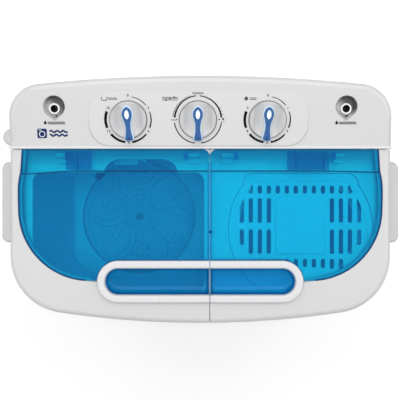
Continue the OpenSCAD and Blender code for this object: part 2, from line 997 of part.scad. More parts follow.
module pulsator() {
  color("#e8edf1") {
    difference() {
      union() {
        translate([wash_x, wash_y, 268]) cylinder(r = pulsator_r, h = 5, $fn = 120);
        translate([wash_x, wash_y, 266]) cylinder(r = 18, h = 24, $fn = 64);
        for (i = [0:5]) {
          translate([wash_x, wash_y, 272]) rotate([0, 0, i * 60]) translate([14, -4, 0])
            cube([84, 8, 14]);
        }
      }
      translate([wash_x, wash_y, 260]) cylinder(r = 8, h = 24, $fn = 48);
      translate([wash_x, wash_y, 280]) cylinder(r = 3, h = 24, $fn = 32);
      for (i = [0:5]) {
        for (j = [0:2]) {
          translate([wash_x, wash_y, 260]) rotate([0, 0, i * 60 + 30]) translate([50 + j * 20, 0, 0])
            cylinder(r = 4, h = 20, $fn = 24);
        }
      }
    }
  }
}

module pulsator_screw() {
  color("#c4c8cc") {
    translate([wash_x, wash_y, 290]) cylinder(r = 6, h = 3, $fn = 40);
    translate([wash_x, wash_y, 284]) cylinder(r = 3, h = 6, $fn = 32);
  }
}

module pulsator_shaft() {
  color("#b6babf") translate([wash_x, wash_y, 166]) cylinder(r = 8, h = 118, $fn = 48);
}

module wash_pulley() {
  color("#8b9096") {
    difference() {
      translate([wash_x, wash_y, 0]) rotate_extrude($fn = 96) polygon([
        [8, 166], [20, 166], [20, 172], [60, 172], [60, 168], [71, 168],
        [71, 171], [68, 172], [68, 180], [71, 181], [71, 184], [60, 184], [60, 180], [20, 180],
        [20, 188], [8, 188]
      ]);
      for (i = [0:4]) {
        translate([wash_x, wash_y, 160]) rotate([0, 0, i * 72]) translate([40, 0, 0])
          cylinder(r = 12, h = 30, $fn = 40);
      }
    }
  }
}

module motor_pulley() {
  color("#8b9096") {
    translate([motor_x, motor_y, 0]) rotate_extrude($fn = 72) polygon([
      [0, 102], [6, 102], [6, 160], [23, 168], [23, 171], [20, 172], [20, 180], [23, 181],
      [23, 184], [0, 184]
    ]);
  }
}

// ---- spin drive ----

module spin_basket() {
  color("#dfe6ec") {
    difference() {
      translate([spin_x, spin_y, 0]) rotate_extrude($fn = 120) polygon([
        [10, 308], [30, 308], [30, 330], [88, 316], [basket_r, 324], [basket_r, 580],
        [basket_r + 6, 586], [basket_r + 6, 590], [basket_r - 6, 590], [basket_r - 6, 584],
        [basket_r - 2.5, 580], [basket_r - 2.5, 326], [86, 319], [32, 334], [10, 334]
      ]);
      for (j = [0:3]) {
        for (i = [0:3]) {
          translate([spin_x, spin_y, 370 + j * 56]) rotate([0, 90, i * 45 + 22.5 * (j % 2)])
            translate([0, 0, -120]) cylinder(r = 4, h = 240, $fn = 20);
        }
      }
    }
  }
}

module spin_shaft() {
  color("#b6babf") {
    translate([spin_x, spin_y, 112]) cylinder(r = 6, h = 82, $fn = 48);
    translate([spin_x, spin_y, 194]) cylinder(r = 10, h = 148, $fn = 48);
    translate([spin_x, spin_y, 334]) cylinder(r = 16, h = 6, $fn = 6);
  }
}

module brake_drum() {
  color("#8b9096") {
    translate([spin_x, spin_y, 0]) rotate_extrude($fn = 96) polygon([
      [10, 200], [22, 200], [22, 214], [44, 214], [44, 202], [50, 202], [50, 230], [44, 230],
      [44, 222], [22, 222], [22, 236], [10, 236]
    ]);
  }
}

module brake_lever() {
  color("#9aa0a6") {
    difference() {
      union() {
        translate([spin_x - 60, spin_y - 30, 209]) cylinder(r = 8, h = 12, $fn = 40);
        translate([spin_x - 64, spin_y - 30, 211]) cube([8, 60, 8]);
        translate([spin_x - 62, spin_y - 8, 207]) cube([8, 24, 16]);
      }
      translate([spin_x - 60, spin_y - 30, 200]) cylinder(r = 4.06, h = 40, $fn = 40);
    }
  }
}

module spin_cover() {
  color("#f3f6f8") {
    difference() {
      union() {
        slab(622, 625) cover_plan(0);
        slab(625, 626.5) difference() {
          cover_plan(0);
          cover_plan(-12);
        }
        slab(625, 628.5) translate([spin_x - 1, -36.5]) rrect(-37, 37, -43.5, 43.5, 5);
      }
      // drain slots in rows
      for (i = [-5.5:1:5.5]) {
        slab(620, 630) translate([spin_x + i * 13.6, 16.5]) rrect(-3.1, 3.1, -6, 6, 3);
      }
      for (s = [-1, 1]) {
        for (i = [3.5:1:6.5]) {
          slab(620, 630) intersection() {
            union() {
              translate([spin_x + s * i * 13.6, -15]) rrect(-3.1, 3.1, -18.5, 18.5, 3);
              translate([spin_x + s * i * 13.6, -62]) rrect(-3.1, 3.1, -18.5, 18.5, 3);
            }
            translate([spin_x, spin_y]) circle(r = 94, $fn = 96);
          }
        }
        for (i = [0.5:1:4.5]) {
          slab(620, 630) translate([spin_x + s * i * 13.6, -93]) rrect(-3.1, 3.1, -6.5 - i, 5, 3);
        }
      }
    }
  }
}

module pump_impeller() {
  color("#3f4347") {
    translate([-205, 96, 72]) cylinder(r = 22, h = 2.5, $fn = 64);
    translate([-205, 96, 51]) cylinder(r = 3, h = 36, $fn = 40);
    for (i = [0:5]) {
      translate([-205, 96, 74]) rotate([0, 0, i * 60]) translate([2, -1, 0]) cube([20, 2, 11]);
    }
  }
}

module lint_filter() {
  color("#b9c7d3") {
    difference() {
      box(-152.9, -87.1, 65, 70, 400, 560);
      for (i = [0:4]) {
        box(-146 + i * 12, -138 + i * 12, 60, 80, 412, 540);
      }
    }
    box(-140, -100, 58, 65, 545, 560);
  }
}

// ---- what is shown ----

cabinet();
base_pan();
feet();
rear_cover();
rear_cover_screws();
side_grip_left();
side_grip_right();
top_deck();
control_housing();
dial_plate();
inlet_cup_left();
inlet_cup_right();
inlet_duct_left();
inlet_duct_right();
wash_timer();
drain_selector();
spin_timer();
hinge_brackets();
wash_tub();
spin_tub();
lint_filter_guide();
bearing_housing();
wash_motor();
motor_mounts();
drive_belt();
spin_motor();
spin_motor_springs();
run_capacitors();
drain_pump();
sump_hose();
spin_drain_hose();
drain_hose();
hose_cap();
hose_hook();
cord_gland();
lid_switch();
wash_lid_frame();
wash_lid_window();
wash_lid_handle();
spin_lid_frame();
spin_lid_window();
spin_lid_handle();
wash_knob();
wash_knob_grip();
selector_knob();
selector_knob_grip();
spin_knob();
spin_knob_grip();
pulsator();
pulsator_screw();
pulsator_shaft();
wash_pulley();
motor_pulley();
spin_basket();
spin_shaft();
brake_drum();
brake_lever();
spin_cover();
pump_impeller();
lint_filter();
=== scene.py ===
from math import acos, asin, atan, atan2, cos, degrees, hypot, pi, radians, sin, sqrt, tan

import bmesh
import bpy
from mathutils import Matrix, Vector, geometry


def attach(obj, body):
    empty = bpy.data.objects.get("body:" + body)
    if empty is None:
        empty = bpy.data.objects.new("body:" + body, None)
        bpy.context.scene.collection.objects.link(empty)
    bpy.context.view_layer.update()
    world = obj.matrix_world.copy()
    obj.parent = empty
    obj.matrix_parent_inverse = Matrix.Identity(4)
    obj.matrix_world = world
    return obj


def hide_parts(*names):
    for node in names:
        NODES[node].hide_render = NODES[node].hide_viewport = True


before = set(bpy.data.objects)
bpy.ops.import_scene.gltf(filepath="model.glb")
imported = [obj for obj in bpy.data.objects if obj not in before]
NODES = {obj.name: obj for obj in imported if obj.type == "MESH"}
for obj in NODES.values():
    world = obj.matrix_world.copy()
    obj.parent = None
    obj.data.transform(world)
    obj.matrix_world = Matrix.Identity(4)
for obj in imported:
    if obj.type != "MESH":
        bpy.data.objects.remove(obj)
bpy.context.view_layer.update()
SCENE = bpy.context.scene
MM = 0.001

# ------------ dimensions (mm)
SPLIT = 14.0  # joint line between the lids
LID_GAP = 0.55  # half of the gap there
LID_TOP = 650.0
LID_LOW = 628.6  # lower rim of the lids
CREASE_Y = 43.0  # where a window's pane meets its rear strip
REAR_Y = 75.1  # rear end of the lids
LIP_Y, LIP_Z = 75.6, 656.0  # front edge of the console's sloping face
TILT = radians(12.0)  # slope of that face
HALF_W, HALF_D = 281.0, 182.0
REAR_R, FRONT_R, REAR_C, FRONT_C = 2440.0, 1400.0, 52.0, 85.0  # bows and corners of the plan
RING_L, RING_W, RING_Y = 302.0, 62.0, -118.6  # handle ring
RING_MID = RING_W / 2 - 6.1  # radius of the middle of its section
RING_END = -(RING_L - RING_W) / 2
CORNER = (-162.0, -12.7, 105.0)  # arc of the window's front corner: centre and radius
KNOB_X = (-103.9, -3.4, 97.1)
KNOB_V = (117.0 - LIP_Y) / cos(TILT)
SHAFT_R = 8.2  # hole for a dial's shaft
INLET_X = 210.5
INLET_V = (135.5 - LIP_Y) / cos(TILT)
INLET_R, INLET_TIP = 15.3, 20.2  # bowl of a water inlet
SPIGOT_V = -3.4
WASH = (-124.0, -33.0)
SPIN = (151.0, -43.0)
HINGE_Y, HINGE_Z = 67.0, 645.5
PULSATOR_R = 112.0
HOSE = (-286.0, 96.0)
GRIP_Y0, GRIP_Y1 = -64.2, 59.4  # ends of a side grip
LIDS = ((-1, "wash_lid"), (1, "spin_lid"))
SIDES = ((-1, "left"), (1, "right"))


# ------------ materials
class Look:
    """Node material in the making. Each method adds nodes and gives back an output socket."""

    def __init__(self, name, scale=(1, 1, 1)):
        self.mat = bpy.data.materials.new(name)
        self.mat.use_nodes = True
        self.nodes, self.links = self.mat.node_tree.nodes, self.mat.node_tree.links
        self.nodes.clear()
        self.vec = self.add("Mapping", Scale=scale, Vector=self.add("TexCoord", "Object"))

    def fill(self, socket, value):
        if isinstance(value, bpy.types.NodeSocket):
            self.links.new(value, socket)
        else:
            socket.default_value = value

    def add(self, kind, out=0, settings=(), **values):
        """New node; values fill its inputs, with _ for the blanks in their names."""
        n = self.nodes.new("ShaderNode" + kind)
        for key, value in settings:
            setattr(n, key, value)
        for key, value in values.items():
            self.fill(n.inputs[key.replace("_", " ")], value)
        return None if out is None else n.outputs[out]

    def noise(self, scale, detail=3.0, rough=0.5):
        return self.add("TexNoise", "Fac", Scale=scale, Detail=detail, Roughness=rough,
                        Vector=self.vec)

    def axis(self, name):
        return self.add("SeparateXYZ", name, Vector=self.vec)

    def math(self, op, a, b, clamp=False):
        n = self.nodes.new("ShaderNodeMath")
        n.operation, n.use_clamp = op, clamp
        self.fill(n.inputs[0], a)
        self.fill(n.inputs[1], b)
        return n.outputs[0]

    def linear(self, fac, gain, base):
        """base + gain * fac, kept within 0 and 1."""
        return self.math("ADD", self.math("MULTIPLY", fac, gain), base, clamp=True)

    def ramp(self, fac, *stops):
        out = self.add("ValToRGB", Fac=fac)
        for e, (place, colour) in zip(out.node.color_ramp.elements, stops):
            e.position = place
            e.color = (*colour, 1.0)
        return out

    def drift(self, fac, colour, low):
        """Colour that drifts with fac between itself and low times itself."""
        return self.ramp(fac, (0.3, [c * low for c in colour]), (0.7, colour))

    def mix(self, fac, a, b):
        out = self.add("MixShader", Fac=fac)
        self.fill(out.node.inputs[1], a)
        self.fill(out.node.inputs[2], b)
        return out

    def done(self, shader):
        self.add("OutputMaterial", None, Surface=shader)
        return self.mat

    def principled(self, **values):
        return self.done(self.add("BsdfPrincipled", **values))


def plastic(name, colour, rough=0.35, spread=0.03, grain=700.0, depth=2e-5,
            coat=0.0, rough_spread=0.08, specular=0.5):
    """Moulded or painted surface: soft colour drift, fine grain in the bump and uneven gloss."""
    k = Look(name)
    lo = [max(0.0, c * (1 - spread)) for c in colour]
    hi = [min(1.0, c * (1 + spread)) for c in colour]
    gloss = {"Coat_Weight": coat, "Coat_Roughness": 0.08} if coat else {}
    return k.principled(
        Base_Color=k.ramp(k.noise(6.0, 4.0, 0.55), (0.3, lo), (0.7, hi)),
        Roughness=k.linear(k.noise(38.0, 5.0, 0.6), rough_spread * 2, rough - rough_spread),
        Normal=k.add("Bump", Strength=0.6, Distance=depth, Height=k.noise(grain, 2.0, 0.6)),
        Specular_IOR_Level=specular, **gloss)


def tinted(name, tint, body, body_share, rough=0.07):
    """Clear coloured plastic: light is filtered on its way through, with some milk and gloss."""
    k = Look(name)
    fac = k.noise(5.0)
    r = k.linear(k.noise(60.0, 4.0), 0.06, rough)
    clear = k.add("BsdfTransparent", Color=k.drift(fac, tint, 0.965))
    milk = k.add("BsdfPrincipled", Roughness=r, Specular_IOR_Level=0.0,
                 Base_Color=k.drift(fac, body, 0.92))
    gloss = k.add("BsdfGlossy", Color=(0.35, 0.75, 1.0, 1.0), Roughness=r)
    edge = k.math("MULTIPLY", k.add("Fresnel", IOR=1.45), 0.8)
    return k.done(k.mix(edge, k.mix(k.linear(fac, 0.02, body_share), clear, milk), gloss))


def metal(name, colour, rough=0.32, brushed=(1, 1, 1)):
    """Bare metal with drawn or cast marks; brushed stretches the marks along an axis."""
    k = Look(name, brushed)
    marks = k.noise(220.0, 4.0, 0.7)
    return k.principled(
        Metallic=1.0, Roughness=k.linear(marks, 0.22, rough - 0.11),
        Base_Color=k.drift(marks, colour, 0.92),
        Normal=k.add("Bump", Strength=0.35, Distance=8e-5, Height=marks))


def painted_edge_shade(name, dark, pale, y0, y1):
    """Painted shade along a moulded edge: a dark line near the front that fades out towards the
    rear.
    """
    k = Look(name)
    fac = k.linear(k.noise(90.0), 0.1,
                   k.add("MapRange", From_Min=y0, From_Max=y1, Value=k.axis("Y")))
    return k.principled(Roughness=0.42, Base_Color=k.ramp(fac, (0.0, dark), (0.9, pale)))


def dish_painted_shade(name, pale, dark, cx, cy):
    """Grey bowl with painted shade, darker towards its outer rear side; cx, cy is its middle in
    metres.
    """
    k = Look(name)
    across = k.math("MULTIPLY", k.math("SUBTRACT", k.axis("X"), cx), 38.0)
    back = k.math("MULTIPLY", k.math("SUBTRACT", k.axis("Y"), cy), 45.0)
    # painted shade: a slant across the bowl towards its rear side
    lean = k.math("ADD", k.math("ADD", across, back), 0.30)
    fac = k.linear(k.noise(60.0), 0.15, lean)
    return k.principled(Roughness=0.45, Base_Color=k.ramp(fac, (0.25, pale), (0.95, dark)))


def deck_painted_light_shadow(name, inner, outer):
    """Top moulding: lighter under the lids than on its rim, painted light that makes up for the
    shade there, and darker to the rear under the lids, painted shadow of the console.
    """
    k = Look(name)
    x, y = (k.math("POWER", k.math("DIVIDE", k.math("ABSOLUTE", k.axis(axis), 0.0), half), 6.0)
            for axis, half in (("X", 0.2805), ("Y", 0.1810)))
    fac = k.linear(k.noise(6.0), 0.04, k.math("ADD", x, y))
    # painted shadow of the console: darker towards the rear under the lids
    rear = k.add("MapRange", settings=[("interpolation_type", "SMOOTHSTEP")], From_Min=0.046,
                 From_Max=0.074, To_Min=1.0, To_Max=0.5, Value=k.axis("Y"))
    rim = k.add("MapRange", From_Min=0.64, From_Max=0.72, Value=fac)
    # painted light: the part under the lids is drawn lighter than the rim, and the painted shadow
    # is kept off the rim
    tone = k.add("VectorMath", settings=[("operation", "SCALE")],
                 Vector=k.ramp(fac, (0.64, inner), (0.72, outer)),
                 Scale=k.math("MAXIMUM", rear, rim))
    return k.principled(Base_Color=tone, Roughness=k.linear(k.noise(38.0, 5.0), 0.12, 0.34))


# painted shade along the decor pad's edge
M_PAD_EDGE_SHADE = painted_edge_shade("pad_edge_shade", (0.25, 0.252, 0.256), (0.47, 0.472, 0.475), 0.094, 0.128)
M_WHITE = plastic("white_gloss", (0.485, 0.486, 0.488), 0.34, 0.012, depth=1e-5,
                  coat=0.15)
# lighter copy of the lids' white plastic: painted light on the raised handle ring
M_RING_LIT = plastic("ring_white_lit", (0.535, 0.535, 0.545), 0.30, 0.01, depth=1e-5, coat=0.2)
M_BODY = plastic("white_body", (0.46, 0.462, 0.465), 0.45, 0.02, grain=420.0, depth=5e-5)
# painted light: far lighter under the lids than on the rim
M_DECK = deck_painted_light_shadow("white_deck", (0.80, 0.82, 0.84), (0.50, 0.503, 0.508))
M_PANEL = plastic("panel_white", (0.495, 0.496, 0.498), 0.42, 0.01, depth=1e-5)
M_WINDOW = tinted("blue_window", (0.30, 0.92, 0.955), (0.012, 0.23, 0.76), 0.125)
M_SHADE = tinted("blue_shade", (0.80, 0.74, 0.84), (0.02, 0.20, 0.55), 0.05)
M_LINE = plastic("blue_line", (0.005, 0.04, 0.13), 0.5, 0.05, depth=1e-5, specular=0.1)
M_POCKET = tinted("blue_pocket", (0.30, 0.79, 0.93), (0.008, 0.26, 0.62), 0.22, 0.08)
M_DIAL = plastic("dial_grey", (0.42, 0.42, 0.422), 0.30, 0.03, depth=1e-5, coat=0.3)
M_GRIP_BLUE = plastic("grip_blue", (0.018, 0.082, 0.235), 0.30, 0.06, depth=1e-5, coat=0.4)
M_GRIP_EDGE = plastic("grip_edge", (0.55, 0.72, 0.90), 0.25, 0.05, coat=0.5)
M_OVAL = plastic("oval_white", (0.80, 0.88, 0.95), 0.22, 0.02, coat=0.5)
M_RING_DARK = plastic("ring_dark", (0.13, 0.132, 0.135), 0.3, 0.05)
# darker grey for the side grips' steep outer faces: painted shade
M_SIDE_GRIP_SHADE = plastic("side_grip_shade_grey", (0.33, 0.335, 0.345), 0.5, 0.05, grain=500.0,
                      depth=8e-5)
M_CAP = plastic("cap_grey", (0.47, 0.473, 0.48), 0.42, 0.03)
# lighter copy of the housing's white: painted highlight along the console's lip
M_LIP_HIGHLIGHT = plastic("lip_white_highlight", (0.54, 0.542, 0.545), 0.32, 0.01, depth=1e-5)
M_GRIP_BODY = plastic("grip_body", (0.44, 0.443, 0.45), 0.45, 0.03, depth=3e-5)
M_INK = plastic("ink_dark", (0.006, 0.006, 0.007), 0.7, 0.1, specular=0.05)
M_INK_NAVY = plastic("ink_navy", (0.008, 0.022, 0.095), 0.6, 0.1, specular=0.1)
# inlet bowls with painted shade
M_INLETS_SHADED = {s: dish_painted_shade("inlet_grey_" + side, (0.42, 0.423, 0.427), (0.075, 0.076, 0.078),
                            s * INLET_X * MM, 0.131) for s, side in SIDES}
M_SPIGOT = plastic("spigot_white", (0.75, 0.76, 0.77), 0.35, 0.02)
M_TUB = plastic("tub_plastic", (0.67, 0.79, 0.90), 0.36, 0.015, coat=0.1, rough_spread=0.03)
M_BASKET = plastic("basket_plastic", (0.82, 0.90, 0.97), 0.4, 0.02, coat=0.1)
M_PULSATOR = plastic("pulsator_plastic", (0.49, 0.59, 0.74), 0.34, 0.015, coat=0.1,
                     rough_spread=0.03)
M_COVER = plastic("cover_plastic", (0.78, 0.83, 0.87), 0.3, 0.02)
M_DARK = plastic("dark_plastic", (0.035, 0.036, 0.04), 0.5, 0.15, depth=6e-5)
M_RUBBER = plastic("rubber", (0.022, 0.022, 0.024), 0.75, 0.2, grain=300.0, depth=0.0001,
                   specular=0.3)
M_HOSE = plastic("hose_grey", (0.33, 0.335, 0.345), 0.5, 0.06, grain=250.0, depth=8e-5)
M_STEEL = metal("steel", (0.62, 0.63, 0.65), 0.30, (1, 1, 0.08))
M_ALLOY = metal("cast_alloy", (0.50, 0.51, 0.53), 0.48)
M_MOTOR = plastic("motor_paint", (0.06, 0.065, 0.075), 0.42, 0.12, depth=8e-5, coat=0.2)
M_ZINC = metal("zinc", (0.70, 0.70, 0.72), 0.25)

CAD_LOOKS = {
    M_BODY: "cabinet base_pan rear_cover",
    M_DECK: "top_deck hinge_brackets",
    M_WHITE: "control_housing wash_lid_frame spin_lid_frame wash_lid_handle spin_lid_handle",
    M_PANEL: "dial_plate",
    M_WINDOW: "wash_lid_window spin_lid_window",
    M_SIDE_GRIP_SHADE: "side_grip_left side_grip_right",
    M_CAP: "hose_hook hose_cap",
    M_DIAL: "wash_knob selector_knob spin_knob",
    M_GRIP_BLUE: "wash_knob_grip selector_knob_grip spin_knob_grip",
    M_INLETS_SHADED[-1]: "inlet_cup_left",
    M_INLETS_SHADED[1]: "inlet_cup_right",
    M_TUB: "wash_tub spin_tub inlet_duct_left inlet_duct_right lint_filter_guide lint_filter",
    M_PULSATOR: "pulsator",
    M_BASKET: "spin_basket",
    M_COVER: "spin_cover",
    M_DARK: "wash_timer drain_selector spin_timer lid_switch drain_pump pump_impeller",
    M_RUBBER: "feet motor_mounts drive_belt cord_gland",
    M_HOSE: "pulsator_screw drain_hose sump_hose spin_drain_hose",
    M_STEEL: "pulsator_shaft spin_shaft",
    M_ZINC: "rear_cover_screws spin_motor_springs run_capacitors",
    M_ALLOY: "bearing_housing wash_pulley motor_pulley brake_drum brake_lever",
    M_MOTOR: "wash_motor spin_motor",
}
for mat, names in CAD_LOOKS.items():
    for n in names.split():
        ob = NODES[n]
        if not ob.material_slots:
            ob.data.materials.append(mat)
        for s in ob.material_slots:
            s.link, s.material = "OBJECT", mat


# ------------ mesh helpers
MERGE = 2e-6  # metres; points nearer than this are one


def finish_mesh(name, me, mat, body, slot, sharp=38.0, replaces=(), weighted=True):
    bm = bmesh.new()
    bm.from_mesh(me)
    bmesh.ops.remove_doubles(bm, verts=bm.verts, dist=MERGE)
    bmesh.ops.dissolve_degenerate(bm, edges=bm.edges, dist=1e-7)
    bmesh.ops.recalc_face_normals(bm, faces=bm.faces)
    for f in bm.faces:
        f.smooth = True
    for e in bm.edges:
        if len(e.link_faces) == 2:
            e.smooth = e.calc_face_angle(0.0) < radians(sharp)
    bm.to_mesh(me)
    bm.free()
    ob = bpy.data.objects.new(name, me)
    SCENE.collection.objects.link(ob)
    me.materials.append(mat)
    if weighted:
        ob.modifiers.new("weighted", "WEIGHTED_NORMAL").keep_sharp = True
    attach(ob, body)
    if replaces:
        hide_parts(*replaces)


def new_mesh(name, verts, faces):
    me = bpy.data.meshes.new(name)
    me.from_pydata([(x * MM, y * MM, z * MM) for x, y, z in verts], [], faces)
    return me


def piece(name, verts, faces, mat, body, slot, **kw):
    me = new_mesh(name, verts, faces)
    me.validate()
    finish_mesh(name, me, mat, body, slot, **kw)


class Build:
    """Collects several closed shapes into one piece."""

    def __init__(self):
        self.v, self.f = [], []

    def add(self, verts, faces, place=None):
        n = len(self.v)
        self.v += [place(*p) if place else tuple(p) for p in verts]
        self.f += [tuple(i + n for i in f) for f in faces]
        return self

    def make(self, name, mat, body, slot, **kw):
        piece(name, self.v, self.f, mat, body, slot, **kw)


def solid(name, mat, body, slot, shape, place=None, **kw):
    """One piece from one closed shape."""
    Build().add(*shape, place).make(name, mat, body, slot, **kw)


def loft(rows, wrap_row=True, wrap_rows=False, cap_first=False, cap_last=False):
    n = len(rows[0])
    verts = [p for r in rows for p in r]
    faces = []
    for i in range(len(rows) if wrap_rows else len(rows) - 1):
        a, b = i * n, ((i + 1) % len(rows)) * n
        for j in range(n if wrap_row else n - 1):
            k = (j + 1) % n
            faces.append((a + j, a + k, b + k, b + j))
    if cap_first:
        faces.append(tuple(range(n))[::-1])
    if cap_last:
        faces.append(tuple((len(rows) - 1) * n + j for j in range(n)))
    return verts, faces


def rod(rows):
    """Closed sections joined in a row, with both ends capped."""
    return loft(list(rows), cap_first=True, cap_last=True)


def layers(loops):
    """Rows of points from (plan loop, height) pairs."""
    return [[(x, y, z) for x, y in loop] for loop, z in loops]


def arc(cx, cy, r, a0, a1, n):
    return [(cx + r * cos(radians(a0 + (a1 - a0) * i / n)),
             cy + r * sin(radians(a0 + (a1 - a0) * i / n))) for i in range(n + 1)]


def circle(cx, cy, r, n=64):
    return arc(cx, cy, r, 0, 360, n)[:-1]


def rrect(x0, x1, y0, y1, r, n=10):
    """Rectangle with rounded corners, anticlockwise."""
    r = min(r, (x1 - x0) / 2 - 0.01, (y1 - y0) / 2 - 0.01)
    return (arc(x1 - r, y1 - r, r, 0, 90, n) + arc(x0 + r, y1 - r, r, 90, 180, n)
            + arc(x0 + r, y0 + r, r, 180, 270, n) + arc(x1 - r, y0 + r, r, 270, 360, n))


def inset(loop, d):
    """Moves each point of a closed loop d to its left: inwards on an anticlockwise loop."""
    out = []
    for (x0, y0), (x, y), (x1, y1) in zip(loop[-1:] + loop[:-1], loop, loop[1:] + loop[:1]):
        la, lb = hypot(x - x0, y - y0) or 1.0, hypot(x1 - x, y1 - y) or 1.0
        px, py = (y0 - y) / la, (x - x0) / la
        nx, ny = px + (y - y1) / lb, py + (x1 - x) / lb
        ln = hypot(nx, ny) or 1.0
        nx, ny = nx / ln, ny / ln
        lean = max(0.35, nx * px + ny * py)
        out.append((x + nx * d / lean, y + ny * d / lean))
    return out


def edges_of(loop):
    return zip(loop, loop[1:] + loop[:1])


def inside(pt, loop):
    x, y = pt
    hit = False
    for (x0, y0), (x1, y1) in edges_of(loop):
        if (y0 > y) != (y1 > y) and x < (x1 - x0) * (y - y0) / (y1 - y0) + x0:
            hit = not hit
    return hit


def signed_area(loop):
    return sum(x0 * y1 - x1 * y0 for (x0, y0), (x1, y1) in edges_of(loop)) / 2


def flat_fill(outer, holes=()):
    """Triangles over a flat region with holes."""
    pts, edges = [], []
    for lp in [outer, *holes]:
        n = len(pts)
        pts += [Vector(p) for p in lp]
        edges += [(n + i, n + (i + 1) % len(lp)) for i in range(len(lp))]
    vs, _, fs, *_ = geometry.delaunay_2d_cdt(pts, edges, [], 0, 1e-5)
    keep = []
    for f in fs:
        c = sum((vs[i] for i in f), Vector((0, 0))) / len(f)
        if inside(c, outer) and not any(inside(c, h) for h in holes):
            keep.append(tuple(f))
    return [tuple(v) for v in vs], keep


def slab(outer, holes, z0, z1, bev=0.6, steps=3):
    """Solid plate with rounded upper edges, from loops in the plan."""
    if signed_area(outer) < 0:
        outer = outer[::-1]
    holes = [h[::-1] if signed_area(h) > 0 else h for h in holes]
    prof = [(0.0, z0)]
    for i in range(steps + 1):
        a = pi / 2 * i / steps
        prof.append((bev * (1 - cos(a)), z1 - bev * (1 - sin(a))))
    b = Build()
    for lp in [outer, *holes]:
        b.add(*loft(layers((inset(lp, d) if d else lp, z) for d, z in prof)))
    for d, z in (prof[0], prof[-1]):
        o, *hs = [inset(lp, d) if d else lp for lp in [outer, *holes]]
        vs, fs = flat_fill(o, hs)
        b.add([(x, y, z) for x, y in vs], fs)
    return b.v, b.f


def on_face(x, v, w):
    """Point of the sloping console face: x across, v up the slope, w out of the face."""
    return (x, LIP_Y + v * cos(TILT) - w * sin(TILT),
            LIP_Z + v * sin(TILT) + w * cos(TILT))


# ------------ plan outline
RCX, FCX = HALF_W - REAR_C, HALF_W - FRONT_C
RCY = HALF_D - REAR_R + sqrt((REAR_R - REAR_C) ** 2 - RCX ** 2)
FCY = -HALF_D + FRONT_R - sqrt((FRONT_R - FRONT_C) ** 2 - FCX ** 2)
REAR_A = degrees(asin(RCX / (REAR_R - REAR_C)))
FRONT_A = degrees(asin(FCX / (FRONT_R - FRONT_C)))


def rear_outline(d):
    """Rear half of the machine's rim, d inside it, from right to left."""
    return (arc(RCX, RCY, REAR_C - d, 0, 90 - REAR_A, 24)
            + arc(0, HALF_D - REAR_R, REAR_R - d, 90 - REAR_A, 90 + REAR_A, 24)[1:]
            + arc(-RCX, RCY, REAR_C - d, 90 + REAR_A, 180, 24)[1:])


# ------------ lids
# s is -1 for the wash lid and 1 for the spin lid; lid is its body
RIM_YS = [REAR_Y, 70.0, 62.0, 52.0, CREASE_Y + 0.15, CREASE_Y - 0.15, 34.0, 24.0, 14.0, 2.0, -10.0,
          -22.0, -34.0, -45.0]
RIM_END = -RIM_YS[-1]
CORNER_STEPS, FRONT_STEPS = 44, 90
# from the border's outer foot to its top: distance in from the rim, and height
BORDER = [(0.0, LID_LOW), (0.0, 636.0), (0.12, 639.6), (0.7, 643.0), (2.0, 646.0), (4.0, 648.3),
          (6.6, 649.5), (9.6, 649.93)]
# and on round the window: distance out from the window, and height over the lid's surface
BORDER_IN = [(2.2, 0.0), (1.3, -0.12), (0.45, -0.95), (0.35, -1.6), (0.35, -4.6), (-4.5, -4.6),
             (-4.5, -7.0)]
BORDER_WALL = 3.2
HINGE_FROM, HINGE_LOW = 62.0, 641.0  # behind that y the lower rim is higher, over the hinges
RING_SECTION = [(6.0, 648.4), (6.0, 654.2), (5.8, 655.9), (5.2, 657.1), (4.2, 657.8), (2.6, 658.05),
                (-2.6, 658.1), (-3.9, 657.7), (-5.0, 656.6), (-5.7, 654.9), (-6.0, 652.4),
                (-6.05, 650.0), (-5.6, 648.3)]
POCKET = [(23.6, 648.4), (19.4, 648.9), (18.9, 646.6), (18.0, 643.4), (16.4, 640.6), (13.8, 638.5),
          (10.4, 637.2), (6.5, 636.6), (2.5, 636.4), (0.05, 636.35)]
POCKET_WALL = 1.6
ARMS = {-1: [(-212, 13, 1), (-18, 17, -1)], 1: [(32, 17, 1), (199, 13, -1)]}  # x, pin, side
CREASE_DROP = {-1: 4.2, 1: 1.9}
RIBS = {-1: (-198, -160, (-181,)), 1: (128, 190, (141, 182))}


def seam_x(s):
    """Cut at the joint line, for a lid drawn on the left side."""
    return SPLIT - LID_GAP if s < 0 else -(SPLIT + LID_GAP)


def lid_surface(x, y):
    """Height of a lid's upper face: flat, a rear strip that rises, and a soft fall in front."""
    z = LID_TOP
    if y > CREASE_Y:
        z += 2.0 * (y - CREASE_Y) / (REAR_Y - CREASE_Y)
    if y < -128.0:
        z -= 4.2 * ((-128.0 - y) / 54.0) ** 2
    return z


def resample(pts, n):
    d = [0.0]
    for a, b in zip(pts, pts[1:]):
        d.append(d[-1] + hypot(b[0] - a[0], b[1] - a[1]))
    out, j = [], 0
    for i in range(n + 1):
        t = d[-1] * i / n
        while j < len(d) - 2 and d[j + 1] < t:
            j += 1
        f = (t - d[j]) / ((d[j + 1] - d[j]) or 1.0)
        out.append((pts[j][0] + (pts[j + 1][0] - pts[j][0]) * f,
                    pts[j][1] + (pts[j + 1][1] - pts[j][1]) * f))
    return out


def stations(side, corner, front):
    """The same number of points along any edge of a lid: side, corner, front."""
    return (side + resample([side[-1]] + corner, CORNER_STEPS)[1:]
            + resample([corner[-1]] + front, FRONT_STEPS)[1:])


